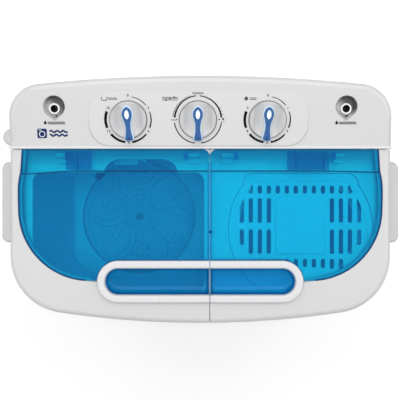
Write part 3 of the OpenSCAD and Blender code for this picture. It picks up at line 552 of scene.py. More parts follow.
def outer_edge(d, seam):
    """Left half of the rim from the rear end down the side and along the front to the seam."""
    side = [(-HALF_W + d, y) for y in RIM_YS]
    low = [(-HALF_W + d, -RIM_END + (FCY + RIM_END) * i / 6) for i in range(1, 6)]
    corner = arc(-FCX, FCY, FRONT_C - d, 180, 270 - FRONT_A, 30)
    x0, x1 = -(FRONT_R - d) * sin(radians(FRONT_A)), seam
    xs = [x0 + (x1 - x0) * i / 60 for i in range(1, 61)]
    return side, low + corner, [(x, FRONT_R - HALF_D - sqrt((FRONT_R - d) ** 2 - x * x))
                                for x in xs]


def window_side_x(y, d):
    """How far the window reaches at a given depth, before its corner arc."""
    if y >= 43.1:
        return 263.7 + d - 2.7 * (y - 43.1) / 32.9
    if y >= 14.0:
        return 155.0 + sqrt((112.5 + d) ** 2 - (y - 14.0) ** 2)
    if y >= CORNER[1]:
        return 267.5 + d - 0.5 * (14.0 - y) / 26.7
    return -CORNER[0] + sqrt((CORNER[2] + d) ** 2 - (y - CORNER[1]) ** 2)


def corner_arc(d, n):
    a0 = 180 + degrees(asin((RIM_END + CORNER[1]) / (CORNER[2] + d)))
    return arc(CORNER[0], CORNER[1], CORNER[2] + d, a0, 266.0, n)


def inner_edge(d, seam):
    """The window's edge, with d more room, and on round the handle ring to the seam."""
    side = [(-window_side_x(y, d), y) for y in RIM_YS]
    corner = corner_arc(d, 35)[1:]
    r = RING_MID + d
    ring = [corner[-1], (-150.0, RING_Y - 1.0)] + arc(RING_END, RING_Y, r, 184, 270, 14)
    front = [(RING_END + (seam - RING_END) * i / 40, RING_Y - r) for i in range(1, 41)]
    return side, corner, ring + front


def lid_frame(s, lid):
    """White border of a lid: one closed section per station along it."""
    seam = seam_x(s)
    outer = [(stations(*outer_edge(d, seam)), z) for d, z in BORDER]
    inner = [(stations(*inner_edge(d, seam)), z) for d, z in BORDER_IN]
    rows = []
    for i in range(len(outer[0][0])):
        sec = []
        for pts, z in outer:
            x, y = pts[i]
            raised = max(z, HINGE_LOW) if y > HINGE_FROM else z
            rise = (lid_surface(x, y) - LID_TOP) * (z - LID_LOW) / 21.4
            sec.append((x, y, raised + rise))
        for pts, dz in inner:
            x, y = pts[i]
            sec.append((x, y, lid_surface(x, y) + dz))
        x, y = outer[0][0][i]
        xi, yi = outer[7][0][i]
        ln = hypot(xi - x, yi - y) or 1.0
        x3, y3 = x + (xi - x) * BORDER_WALL / ln, y + (yi - y) * BORDER_WALL / ln
        sec.append((x3, y3, lid_surface(x3, y3) - 7.0))
        sec.append((x3, y3, HINGE_LOW if y > HINGE_FROM else LID_LOW))
        rows.append([(-s * x, y, z) for x, y, z in sec])
    piece(lid + "_border", *rod(rows), M_WHITE, lid, "white_abs", replaces=(lid + "_frame",),
          sharp=50)


def window_loop(seam):
    """Plan of one blue window, left lid, anticlockwise from the joint line's rear corner."""
    loop = arc(seam - 9.0, REAR_Y - 9.0, 9.0, 0, 90, 8)
    loop += arc(-window_side_x(REAR_Y - 5, 0) + 5, REAR_Y - 5, 5, 90, 170, 6)
    loop += [(-window_side_x(y, 0), y) for y in (62, 52, 43, 34, 24, 14, 2, -10, -22, -34)]
    loop += corner_arc(0.0, 40)
    loop += [(-150.5, RING_Y + 0.4)]
    loop += arc(RING_END, RING_Y, RING_MID, 178, 90, 12)
    return loop + [(seam, RING_Y + RING_MID)]


def window(s, lid):
    name, seam = lid + "_glass", seam_x(s)
    loop = window_loop(seam)
    if s > 0:
        loop = [(-x, y) for x, y in loop][::-1]
    me = new_mesh(name, *slab(loop, [], -2.4, 0.0, bev=0.9))
    bm = bmesh.new()
    bm.from_mesh(me)
    bmesh.ops.remove_doubles(bm, verts=bm.verts, dist=MERGE)
    for cut in (CREASE_Y - 0.9, CREASE_Y - 0.2, CREASE_Y + 0.6, 60.0):
        bmesh.ops.bisect_plane(bm, geom=bm.verts[:] + bm.edges[:] + bm.faces[:],
                               plane_co=(0, cut * MM, 0), plane_no=(0, 1, 0))
    for q in bm.verts:
        y = q.co.y / MM
        if q.co.z < -1.0 * MM and y > 59.9:  # thinner at the rear
            q.co.z = -1.35 * MM
        if q.co.z > -1.5 * MM and CREASE_Y - 0.5 < y < CREASE_Y:  # groove of the crease
            q.co.z -= 0.75 * MM
        q.co.z += lid_surface(0.0, max(y, -120.0)) * MM
    bm.to_mesh(me)
    bm.free()
    finish_mesh(name, me, M_WINDOW, lid, "blue_clear", replaces=(lid + "_window",), sharp=30)
    # hinge arms with their pins
    b = Build()
    for x, w, side in ARMS[s]:
        ax = x + w + 0.6 if side > 0 else x - 6.6
        arm = [(HINGE_Y - 7, 649.2), (HINGE_Y - 7, 645.5)] + [
            (HINGE_Y + 4.1 * cos(radians(t)), HINGE_Z + 4.1 * sin(radians(t)))
            for t in range(200, 361, 16)] + [(HINGE_Y + 4.1, 649.8)]
        b.add(*slab(arm, [], 0.0, 6.0, bev=0.5), lambda p, q, r, ax=ax: (ax + r, p, q))
        px = x + 1 if side > 0 else x - 3
        b.add(*rod([[(px + t, HINGE_Y + r * cos(a), HINGE_Z + r * sin(a))
                     for a in [2 * pi * i / 24 for i in range(24)]]
                    for t, r in ((0, 1.7), (0.5, 2.2), (w + 1.5, 2.2), (w + 2, 1.7))]))
    # stiffening wall along the joint line
    wx = seam - 2.5 if s < 0 else -seam
    b.add(*slab(rrect(wx, wx + 2.5, -88, 57, 0.5, 3), [], 639.0, 647.4, bev=0.3))
    b.make(name + "_arms", M_WINDOW, lid, "blue_clear", sharp=30)


def ring_path(r, s, seam, n_arc=32, n_line=18):
    """Half of the handle's stadium path, from the joint line round the end and back."""
    line = [(seam + (RING_END - seam) * i / n_line, RING_Y + r) for i in range(n_line)]
    back = [(RING_END + (seam - RING_END) * i / n_line, RING_Y - r) for i in range(1, n_line + 1)]
    pts = line + arc(RING_END, RING_Y, r, 90, 270, n_arc) + back
    return [(-x, y) for x, y in pts] if s > 0 else pts


def handle(s, lid):
    cols = [[(x, y, z) for x, y in ring_path(RING_MID + n, s, seam_x(s))] for n, z in RING_SECTION]
    piece(lid + "_grip", *rod(zip(*cols)), M_RING_LIT, lid, "white_abs",
          replaces=(lid + "_handle",), sharp=50)


def handle_foot_shadow(s, lid):
    """Painted shadow: a fine dark line at the foot of the ring, where it meets the lid."""
    cols = [[(x, y, lid_surface(x, y) + z) for x, y in ring_path(RING_MID + n, s, seam_x(s))]
            for n, z in [(5.2, -0.6), (7.0, -0.6), (7.0, 0.12), (5.2, 0.12)]]
    piece(lid + "_grip_foot_shadow", *rod(zip(*cols)), M_LINE, lid, "blue_clear", sharp=30)


def window_outline(s, lid):
    """Fine dark joint line between the window and the white border."""
    cols = []
    for d, z in ((-1.5, -1.1), (0.35, -1.1), (0.35, 0.1), (-1.5, 0.12)):
        side, corner, _ = inner_edge(d, seam_x(s))
        pts = side + resample([side[-1]] + corner, CORNER_STEPS)[1:]
        cols.append([(-s * x, y, lid_surface(x, y) + z) for x, y in pts])
    piece(lid + "_outline", *rod(zip(*cols)), M_LINE, lid, "blue_clear", sharp=30)


def crease_line(s, lid):
    """Edge across the window where the rear strip meets the main pane."""
    x0, x1 = SPLIT + s * LID_GAP + s * 1.2, s * 262.6
    rows = []
    for i in range(61):
        x = x0 + (x1 - x0) * i / 60
        t = min(1.0, max(0.0, (abs(x) - 180.0) / 82.0))
        y = CREASE_Y + 0.5 - CREASE_DROP[s] * t * t * (3 - 2 * t)
        z = lid_surface(0.0, y)
        rows.append([(x, y - 0.8, z - 0.9), (x, y + 0.8, z - 0.9), (x, y + 0.7, z + 0.14),
                     (x, y - 0.7, z + 0.14)])
    piece(lid + "_crease", *rod(rows), M_LINE, lid, "blue_clear", sharp=30)


def rear_ribs(s, lid):
    """Stiffening plate and ribs under the rear strip of the window."""
    x0, x1, ribs = RIBS[s]
    solid(lid + "_ribs", M_SHADE, lid, "blue_clear",
          slab(rrect(x0, x1, 45.5, 72.5, 2.0, 4), [], 646.2, 647.7, bev=0.3), sharp=30)
    b = Build()
    for x in ribs:
        b.add(*slab(rrect(x - 0.5, x + 0.5, 45.0, 73.0, 0.2, 2), [], 643.5, 647.9, bev=0.2))
    b.make(lid + "_ribs_webs", M_LINE, lid, "blue_clear", sharp=30)


def corner_web_and_glint(s, lid):
    """White web of the border in the rounded inner rear corner of the window, also a painted
    highlight for the glint in that corner.
    """
    x, r = SPLIT + s * LID_GAP, 9.4
    loop = [(x, REAR_Y)] + [(x + s * (r - r * cos(radians(a))), REAR_Y - r + r * sin(radians(a)))
                            for a in range(90, -1, -9)]
    solid(lid + "_corner", M_WHITE, lid, "white_abs",
          slab(loop, [], 649.9, 651.6, bev=0.2, steps=1))


def pocket(s, lid):
    """Dished finger pocket inside the handle ring."""
    seam = seam_x(s) - 0.6
    top = layers((ring_path(r, s, seam), z) for r, z in POCKET)
    low = layers((ring_path(max(r + (POCKET_WALL if z < 648 else 0.0), 0.05), s, seam), z - 1.9)
                 for r, z in POCKET)
    rows = low[::-1] + top
    k, n = len(rows), len(rows[0])
    v, f = loft(rows, wrap_row=False)
    for base in (0, (k - 1) * n):
        f += [(base + i, base + i + 1, base + n - 2 - i, base + n - 1 - i)
              for i in range(n // 2 - 1)]
        if n % 2:
            f.append((base + n // 2 - 1, base + n // 2, base + n // 2 + 1))
    f.append(tuple([i * n for i in range(k)] + [i * n + n - 1 for i in range(k - 1, -1, -1)]))
    # end wall at the joint line
    end = [r[0] for r in top] + [r[-1] for r in top[::-1]]
    wall = rod([end, [(x + s * POCKET_WALL, y, z) for x, y, z in end]])
    Build().add(v, f).add(*wall).make(lid + "_pocket", M_POCKET, lid, "blue_clear", sharp=50)


for make in (lid_frame, window, handle, handle_foot_shadow, window_outline, crease_line, rear_ribs,
             corner_web_and_glint, pocket):
    for s, lid in LIDS:
        make(s, lid)

# ------------ console and dials
FACE_T = 3.0  # thickness of the console's sloping face


def face_z(y):
    return LIP_Z + (y - LIP_Y) * tan(TILT)


def console_loop(d, front_y):
    """Plan of the rear housing, d inside its rim; its front edge runs along front_y."""
    pts = [p for p in rear_outline(1.5 + d) if p[1] >= RCY + 1]
    pts.sort(key=lambda p: atan2(p[1] + 600.0, p[0]))
    w = HALF_W - 1.5 - d
    side = [front_y] + [LIP_Y + dy for dy in (4.0, 12.0, 24.0, 38.0)]
    loop = [(w, y) for y in side] + pts + [(-w, y) for y in side[::-1]]
    return loop + [(-w + 2 * w * i / 24, front_y) for i in range(1, 24)]


def teardrop(cx, cv, r, tip, n=40):
    """Round recess with a point towards the front, anticlockwise."""
    a = degrees(acos(r / tip)) if tip > r else 0.0
    return arc(cx, cv, r, -90 + a, 270 - a, n) + [(cx, cv - tip)]


def face_height(y, drop, least):
    return max(face_z(y) - drop, least)


rows = layers((console_loop(d, fy), z) for d, z, fy in
              ((0.0, 628.3, 78.5), (0.5, 652.9, 78.5), (0.5, 653.0, 75.6)))
for k, (d, drop) in enumerate([(0.7, 11.0), (1.2, 7.6), (2.4, 4.6), (4.4, 2.3), (7.0, 0.85),
                               (9.6, 0.18), (12.0, 0.0)], 3):
    fy = 75.6 + 0.22 * max(0.0, d - 0.7)
    rows.append([(x, y, face_height(y, 0.22 * drop if abs(y - fy) < 1e-6 else drop,
                                    653.0 + 0.02 * k)) for x, y in console_loop(d, fy)])
inner = [[(x, y, face_height(y, drop, 640.0)) for x, y in console_loop(d, 81.5)]
         for d, drop in ((11.0, FACE_T), (4.0, 9.0))]
inner += layers([(console_loop(3.0, 81.5), 628.3)])
b = Build().add(*loft(rows)).add(*loft(inner)).add(*loft([inner[-1], rows[0]]))
holes = [[(x, LIP_Y + v * cos(TILT)) for x, v in loop] for loop in
         [teardrop(s * INLET_X, INLET_V, 15.7, 20.6) for s, _ in SIDES]
         + [circle(kx, KNOB_V, SHAFT_R, 40) for kx in KNOB_X]]
for edge, drop in ((rows[-1], 0.0), (inner[0], FACE_T)):
    vs, fs = flat_fill([(x, y) for x, y, _ in edge], holes)
    b.add([(x, y, face_z(y) - drop) for x, y in vs], fs)
for h in holes:
    b.add(*loft([[(x, y, face_z(y) - drop) for x, y in h] for drop in (0.0, FACE_T)]))
b.make("console_shell", M_WHITE, "machine", "white_abs", replaces=("control_housing",), sharp=42)

# level front lip of the housing, in a lighter white than the housing: painted highlight along the
# lip
bar = [(-279.0, 75.75), (279.0, 75.75), (279.0, 79.4), (-279.0, 79.4)]
solid("console_lip", M_LIP_HIGHLIGHT, "machine", "white_abs", slab(bar, [], 655.4, 657.15, bev=0.7, steps=4))

# bosses that hold the timer cases under the face
b = Build()
for kx in KNOB_X:
    for dx in (-17, 17):
        b.add(*slab(circle(kx + dx, KNOB_V, 4, 24), [], -14.0, -2.9, bev=0.2), on_face)
b.make("timer_bosses", M_WHITE, "machine", "white_abs")

# decor pad with its fine outline, a line of painted shade along its edge
pad = rrect(-161, 156, 4, 84, 31, 20)
shafts = [circle(kx, KNOB_V, SHAFT_R, 40) for kx in KNOB_X]
solid("decor_pad", M_PANEL, "machine", "white_abs", slab(pad, shafts, -0.05, 0.8, bev=0.35),
      on_face, replaces=("dial_plate",))
solid("decor_pad_edge_shade", M_PAD_EDGE_SHADE, "machine", "white_abs",
      slab(inset(pad, -0.15), [inset(pad, 0.65)], 0.2, 0.86, bev=0.06, steps=1), on_face)

# water inlets: bowl, spigot with its bore, and the arrow below
BOWL = [(15.3, 20.2, -11.0), (15.3, 20.2, -0.5), (15.0, 19.8, 0.05), (14.6, 19.2, 0.05),
        (14.0, 18.4, -0.7), (13.2, 17.2, -4.5), (12.2, 15.8, -8.0), (11.6, 14.6, -9.1)]
BOWL_LOW = [(7.9, -9.3), (5.7, -9.4), (5.7, -27.8), (7.7, -27.8), (7.7, -11.0)]
BORE = [(5.65, -27.5), (5.65, -1.6), (5.0, -1.6), (5.0, -26.5), (0.3, -26.5), (0.3, -27.5)]
for s, side in SIDES:
    x, v = s * INLET_X, INLET_V + SPIGOT_V
    a = degrees(acos(INLET_R / INLET_TIP))
    rows = layers([(teardrop(x, INLET_V, r, t), w) for r, t, w in BOWL]
                  + [(arc(x, v, r, -90 + a, 270 - a, 40) + [(x, v - r)], w) for r, w in BOWL_LOW])
    solid("inlet_dish_" + side, M_INLETS_SHADED[s], "machine", "grey_plastic", loft(rows, wrap_rows=True),
          on_face, replaces=("inlet_cup_" + side,), sharp=40)
    solid("inlet_spigot_" + side, M_SPIGOT, "machine", "grey_plastic",
          slab(circle(x, v, 7.7), [circle(x, v, 5.5)], -9.5, -1.0, bev=1.0), on_face)
    rows = layers((circle(x, v, r, 48), w) for r, w in BORE)
    solid("inlet_bore_" + side, M_DARK, "machine", "grey_plastic", loft(rows, wrap_rows=True),
          on_face)
    tri = [(x + 2.4, INLET_V - 16.6), (x + 4.4, INLET_V - 13.4), (x + 0.4, INLET_V - 13.4)]
    solid("inlet_arrow_" + side, M_INK, "machine", "grey_plastic",
          slab(tri, [], -9.0, -4.3, bev=0.1, steps=1), on_face)


def smooth_loop(ctrl, n=5):
    """Closed curve through the points."""
    out, m = [], len(ctrl)
    for i in range(m):
        p0, p1, p2, p3 = ctrl[i - 1], ctrl[i], ctrl[(i + 1) % m], ctrl[(i + 2) % m]
        for j in range(n):
            t = j / n
            out.append(tuple(0.5 * (2 * p1[k] + (p2[k] - p0[k]) * t
                                    + (2 * p0[k] - 5 * p1[k] + 4 * p2[k] - p3[k]) * t * t
                                    + (3 * p1[k] - p0[k] - 3 * p2[k] + p3[k]) * t ** 3)
                             for k in (0, 1)))
    return out


# right half of a grip's plan, from nose to tail, and the oval inlay in its nose
GRIP = [(2.9, 18.2), (5.2, 16.0), (6.9, 12.8), (7.5, 9.0), (7.0, 5.0), (5.7, 1.0), (4.5, -3.6),
        (3.9, -8.5), (4.0, -13.5), (4.6, -18.5), (5.4, -22.8), (5.9, -26.0), (5.2, -28.4)]
OVAL = [(0, 14.6), (-2.1, 12.6), (-3.0, 9.0), (-2.5, 4.8), (0, 1.8), (2.5, 4.8), (3.0, 9.0),
        (2.1, 12.6)]
DISC_R, DISC_W, DISC_N = 26.5, 7.0, 96  # radius, height over the face, points round
DISC_EDGE = {24.6: 7.0, 25.4: 6.8, 26.0: 6.3, 26.35: 5.6, DISC_R: 4.8}  # height by radius


def disc_ring(r, height):
    ring = [(r * cos(a), r * sin(a)) for a in [2 * pi * k / DISC_N for k in range(DISC_N)]]
    return [(x, v, height(x, v, r)) for x, v in ring]


def disc_height(x, v, r):
    """Face of a dial: flat, with a finger hollow on each side of the grip."""
    side_x = min(1.0, abs(abs(x) - 13.2) / 9.8)
    along = max(0.0, 1.0 - (abs(v) / 22.5) ** 3)
    hollow = 4.4 * (0.5 + 0.5 * cos(pi * side_x)) ** 0.8 * along
    return DISC_EDGE.get(r, DISC_W) - hollow * (r < 24.7)


def dial(i, lid_of, shaft, tilt=0.0):
    """Disc, shaft and grip; tilt turns the grip off its mark, degrees anticlockwise."""
    kx, name, node = KNOB_X[i], lid_of + "_dial", lid_of + "_knob"
    ct, st = cos(radians(tilt)), sin(radians(tilt))

    def at(x, v, w):
        return on_face(kx + x * ct - v * st, KNOB_V + x * st + v * ct, w)

    rows = [disc_ring(r, disc_height) for r in [1.25 * k for k in range(1, 20)] + [*DISC_EDGE]]
    for r, w in ((26.5, 1.6), (26.2, 1.3)):
        rows.append(disc_ring(r, lambda x, v, r, w=w: w))
    rows.insert(0, disc_ring(0.02, lambda x, v, r, w=rows[0][0][2]: w))
    b = Build().add(*rod(rows), at)
    for r, w0, w1 in ((6.0, -12.0, 1.5), (3.0, -14.0 - shaft, -11.8)):
        b.add(*slab(circle(0, 0, r, 32), [], w0, w1, bev=0.2), at)
    b.make(name + "_disc", M_DIAL, name, "knob_grey", replaces=(node,), sharp=30)
    solid(name + "_surround", M_RING_DARK, "machine", "white_abs",
          slab(circle(0, 0, 27.7, 96), [circle(0, 0, 26.7, 96)], 0.75, 1.7, bev=0.15, steps=2),
          lambda x, v, w: on_face(kx + x, KNOB_V + v, w))
    loop = smooth_loop([(0.0, 19.6)] + [(-x, v) for x, v in GRIP] + [(0.0, -29.3)] + GRIP[::-1])
    if signed_area(loop) < 0:
        loop = loop[::-1]
    solid(name + "_grip", M_GRIP_BLUE, name, "knob_blue",
          slab(inset(loop, 0.35), [], 6.6, 16.0, bev=1.9, steps=5), at,
          replaces=(node + "_grip",), sharp=40)
    solid(name + "_grip_edge", M_GRIP_EDGE, name, "knob_blue",
          slab(inset(loop, -0.75), [], 6.9, 10.8, bev=0.9), at, sharp=40)
    solid(name + "_oval", M_OVAL, name, "knob_blue",
          slab(smooth_loop(OVAL), [], 15.4, 16.35, bev=0.35), at)
    solid(name + "_tail_mark", M_INK_NAVY, name, "knob_blue",
          slab([(-1.5, -26.8), (1.5, -26.8), (0.0, -23.6)], [], 15.6, 16.15, bev=0.08, steps=1), at)


dial(0, "wash", 8, 4.3)
dial(1, "selector", 6)
dial(2, "spin", 8, -4.3)

# ------------ printed marks
PRINT_0, PRINT_1 = 0.70, 0.90  # the ink's foot and top over the console's face
R_SCALE = 32.9
marks = Build()


def band(kx, a0, a1, r0, r1, s0, s1, n=24):
    """Arc round a dial, clockwise degrees from the top; radii go from r0..r1 to s0..s1."""
    def edge(q0, q1, steps):
        return [(kx + (q0 + (q1 - q0) * i / n) * sin(radians(a0 + (a1 - a0) * i / n)),
                 KNOB_V + (q0 + (q1 - q0) * i / n) * cos(radians(a0 + (a1 - a0) * i / n)))
                for i in steps]
    return edge(r1, s1, range(n + 1)) + edge(r0, s0, range(n, -1, -1))


def glyph(text, size):
    """Mesh of a numeral in the built-in font."""
    cu = bpy.data.curves.new("glyph", "FONT")
    cu.body = text
    cu.size = size
    cu.align_x, cu.align_y = "CENTER", "CENTER"
    cu.extrude = 0.1
    cu.offset = 0.09
    ob = bpy.data.objects.new("glyph", cu)
    SCENE.collection.objects.link(ob)
    me = bpy.data.meshes.new_from_object(ob.evaluated_get(bpy.context.evaluated_depsgraph_get()))
    v = [tuple(p.co) for p in me.vertices]
    f = [tuple(p.vertices) for p in me.polygons]
    bpy.data.objects.remove(ob)
    bpy.data.curves.remove(cu)
    bpy.data.meshes.remove(me)
    return v, f


def stroke(pts, w):
    """Closed outline of a line of even width through the points."""
    n = len(pts)
    left, right = [], []
    for i, (x, y) in enumerate(pts):
        x0, y0 = pts[max(0, i - 1)]
        x1, y1 = pts[min(n - 1, i + 1)]
        ln = hypot(x1 - x0, y1 - y0) or 1.0
        nx, ny = -(y1 - y0) / ln * w / 2, (x1 - x0) / ln * w / 2
        left.append((x + nx, y + ny))
        right.append((x - nx, y - ny))
    return left + right[::-1]


def ink(loop):
    marks.add(*slab(loop, [], PRINT_0, PRINT_1, bev=0.03, steps=1), on_face)


def number(kx, text, a, r):
    v, f = glyph(text, 5.4)
    cx, cv = kx + r * sin(radians(a)), KNOB_V + r * cos(radians(a))
    marks.add([(x + cx, y + cv, PRINT_1 - 0.02 + z) for x, y, z in v], f, on_face)


def waves(x, v, w, rows, amp, t, step=1.9, cycles=3):
    """Wavy lines: w long, t thick, step apart."""
    n = 28
    for k in range(rows):
        ink(stroke([(x - w / 2 + w * i / n, v + k * step - (rows - 1) * step / 2
                     + amp * sin(2 * pi * cycles * i / n)) for i in range(n + 1)], t))


def drop(x, v, r):
    ink([(p, 2 * v - q) for p, q in teardrop(x, v, r, 2.0 * r, 20)][::-1])


for kx, labels in ((KNOB_X[0], "0 3 6 9 12 15"), (KNOB_X[2], "0 1 2 3 4 5")):
    for i, t in enumerate(labels.split()):
        number(kx, t, 60 * i, 34.6 if i == 0 else 33.4)
    widths = [0.9, 1.4, 2.2, 3.0, 3.7, 4.2]
    for i in range(5):
        ink(band(kx, 60 * i + 9, 60 * i + 51, R_SCALE - widths[i] / 2, R_SCALE + widths[i] / 2,
                 R_SCALE - widths[i + 1] / 2, R_SCALE + widths[i + 1] / 2))
kx = KNOB_X[1]
for arc_of in ((275, 356, 32.2, 35.0, 33.4, 34.8), (277, 345, 36.0, 36.9, 35.5, 36.0),
               (4, 85, 33.4, 34.8, 32.6, 35.2), (97, 172, 33.3, 34.9, 33.3, 34.9),
               (188, 263, 33.3, 34.9, 33.3, 34.9)):
    ink(band(kx, *arc_of))
for a in (90, 270):
    ink(band(kx, a - 1.1, a + 1.1, 29.3, 32.2, 29.3, 32.2, 3))
for a in (62, 70, 78):
    ink(band(kx, a - 0.6, a + 0.6, 35.8, 37.6, 35.8, 37.6, 3))

# small signs in place of words: tub with waves for the wash, sliders for the programme and a
# spiral for the spin
x, v = KNOB_X[0] - 27.0, KNOB_V + 30.0
ink(stroke([(x - 11.2, v + 2.3), (x - 10.4, v - 2.3), (x - 3.4, v - 2.3), (x - 2.6, v + 2.3)], 1.1))
waves(x + 5.0, v, 13.0, 2, 0.45, 0.8)
x = KNOB_X[1] - 40.0
for k in range(3):
    y = v - 2.0 + 2.0 * k
    ink(rrect(x - 11.5, x + 11.5, y - 0.4, y + 0.4, 0.35, 3))
    ink(circle(x - 6.0 + 6.0 * k, y, 1.2, 16))
x = KNOB_X[2] - 26.0
ink(stroke([(x - 5.5 + (0.4 + 2.3 * i / 40) * cos(0.36 * i),
             v + (0.4 + 2.3 * i / 40) * sin(0.36 * i)) for i in range(41)], 0.9))
for k in range(2):
    y = v - 1.0 + 2.0 * k
    ink(stroke([(x - 0.6, y), (x + 9.5, y)], 0.9))
waves(kx, KNOB_V + 37.6, 16.0, 2, 0.35, 0.75, step=1.6, cycles=5)
waves(kx - 35.4, KNOB_V - 0.4, 7.0, 1, 0.5, 0.8, cycles=2)
drop(kx + 36.4, KNOB_V + 0.8, 1.4)
ink(rrect(kx + 33.6, kx + 39.2, KNOB_V - 3.0, KNOB_V - 2.4, 0.25, 3))
for s, _ in SIDES:
    x, v = s * INLET_X, INLET_V - 23.6
    drop(x - 13.5, v - 0.1, 1.9)
    waves(x + 2.5, v, 25.0, 2, 0.5, 0.95, step=2.2, cycles=5)
marks.make("printed_marks", M_INK, "machine", "dark_plastic", sharp=30, weighted=False)

# navy laundry sign on the left of the console
navy = Build()
x, v = -214.5, 22.4


def sign(loop, holes=()):
    navy.add(*slab(loop, holes, -0.05, 0.16, bev=0.04, steps=1), on_face)


sign(rrect(x - 22, x - 8, v - 7.0, v + 7.0, 2.4, 6),
     [circle(x - 15, v - 1.0, 4.7, 32), rrect(x - 20, x - 15.8, v + 4.5, v + 5.8, 0.55, 3)])
sign(circle(x - 15, v - 1.0, 3.3, 28))
for k in range(2):
    sign(stroke([(x - 4 + 26 * i / 36, v + 2.8 - 5.4 * k + 1.2 * sin(6 * pi * i / 36 + k))
                 for i in range(37)], 2.6))
navy.make("laundry_sign", M_INK_NAVY, "machine", "dark_plastic", sharp=30, weighted=False)

# ------------ inner cover of the spin tub
SLOT_PITCH = 13.6


def cover_loop(d):
    """Round plan with a straight rear edge and squared shoulders, anticlockwise."""
    r, sx, sy, flat, hw, cr = 109.0 + d, SPIN[0], SPIN[1], 40.5 + d, 87.0 + d, 16.0 + d
    y_side = sy + sqrt(r * r - hw * hw)
    a0 = degrees(atan2(y_side - sy, hw))
    loop = arc(sx, sy, r, 180 - a0, 360 + a0, 110)
    loop += arc(sx + hw - cr, flat - cr, cr, 0, 90, 12)
    loop += [(sx + hw - cr - (2 * (hw - cr)) * i / 16, flat) for i in range(1, 16)]
    return loop + arc(sx - hw + cr, flat - cr, cr, 90, 180, 12)


def slot(i, y0, y1):
    """Drain slot, i pitches to the right of the middle."""
    cx = SPIN[0] + i * SLOT_PITCH
    return rrect(cx - 3.1, cx + 3.1, y0, y1, 3.0, 5)


slots = [slot(i - 5.5, 10.5, 22.5) for i in range(12)]
for s in (-1, 1):
    for i in (3.5, 4.5, 5.5, 6.5):
        lim = sqrt(94.0 ** 2 - (i * SLOT_PITCH + 2.5) ** 2)
        slots.append(slot(s * i, -33.5, 3.5))
        slots.append(slot(s * i, max(-80.5, SPIN[1] - lim), -43.5))
    for i in (0.5, 1.5, 2.5, 3.5, 4.5):
        slots.append(slot(s * i, -99.5 - i, -88.0))
solid("inner_cover_plate", M_COVER, "inner_cover", "tub_plastic",
      slab(cover_loop(0.0), slots, 622.0, 625.2, bev=0.8), replaces=("spin_cover",))
solid("inner_cover_rim", M_COVER, "inner_cover", "tub_plastic",
      slab(cover_loop(-0.3), [cover_loop(-12.0)], 624.5, 626.9, bev=1.0))
pad = rrect(SPIN[0] - 38, SPIN[0] + 36, -80, 7, 6, 8)
solid("inner_cover_pad", M_COVER, "inner_cover", "tub_plastic",
      slab(pad, [], 624.5, 628.9, bev=1.4, steps=4))

# ------------ pulsator
DISC_TOP = 272.6  # foot of everything that stands on the pulsator's disc


def around(r, a):
    return WASH[0] + r * cos(a), WASH[1] + r * sin(a)


holes = []
for c in range(6):
    for r, turns in ((44, (-8, 8)), (56, (-12, -4, 4, 12)), (68, (-12, -4, 4, 12)),
                     (80, (-10, -3.4, 3.4, 10)), (92, (-6, 0, 6))):
        for o in turns:
            holes.append(circle(*around(r, radians(60 * c + 30 + o * 1.15)), 2.3, 12))
solid("pulsator_disc", M_PULSATOR, "pulsator_set", "tub_plastic",
      slab(circle(*WASH, PULSATOR_R, 120), holes, 268.0, 273.2, bev=0.7, steps=2),
      replaces=("pulsator",))
solid("pulsator_rim", M_PULSATOR, "pulsator_set", "tub_plastic",
      slab(circle(*WASH, PULSATOR_R, 120), [circle(*WASH, 104.5, 120)], DISC_TOP, 276.6, bev=1.8,
           steps=4))
# hub, vanes and the boss below
HUB = [(38.0, DISC_TOP), (34.0, 274.8), (28.0, 277.8), (22.0, 280.6), (16.0, 283.0), (12.0, 284.2),
       (8.0, 284.4), (8.0, 278.0), (8.0, DISC_TOP)]
rows = layers(([around(r, 2 * pi * k / 64) for k in range(64)], z) for r, z in HUB)
b = Build().add(*loft(rows, wrap_rows=True))
for c in range(6):
    path = [around(22.0 + 76.0 * k / 12, radians(60 * c) + 0.22 * sin(pi * k / 12))
            for k in range(13)]
    b.add(*slab(stroke(path, 14.0), [], DISC_TOP, 277.6, bev=3.9, steps=5))
b.add(*slab(circle(*WASH, 18, 48), [circle(*WASH, 8.1, 48)], 266.0, 272.9, bev=0.3))
b.make("pulsator_vanes", M_PULSATOR, "pulsator_set", "tub_plastic")

# ------------ plug on the hose's free end
PLUG = [(11.0, 606.0), (12.2, 606.0), (12.6, 606.5), (12.6, 619.0), (12.2, 621.4), (11.0, 623.2),
        (8.8, 624.2), (5.0, 624.5), (0.05, 624.55), (0.05, 622.05), (11.0, 622.05)]
solid("hose_plug", M_CAP, "machine", "grey_plastic",
      loft(layers((circle(*HOSE, r), z) for r, z in PLUG), wrap_rows=True),
      replaces=("hose_cap",))

# ------------ side grips
GRIP_LOW = 600.0
GRIP_SKIN = [(0.0, GRIP_LOW), (0.0, 617.5), (0.35, 620.2), (1.3, 622.4), (2.8, 623.6), (4.6, 624.0)]


def grip_corners(r, a, n):
    """Outer corner arcs of the right side grip, front one first; a: angles of the front one."""
    return arc(288, -52.5, r, a[0] + 360, a[1] + 360, n) + arc(288, 47.5, r, -a[1], -a[0], n)


def grip_loop(d, s):
    pts = [(280.6, GRIP_Y0)] + grip_corners(12 - d, (-60, 0), 10) + [(280.6, GRIP_Y1)]
    pts = [(s * x, max(GRIP_Y0 + d, min(GRIP_Y1 - d, y))) for x, y in pts]
    return pts if s > 0 else pts[::-1]


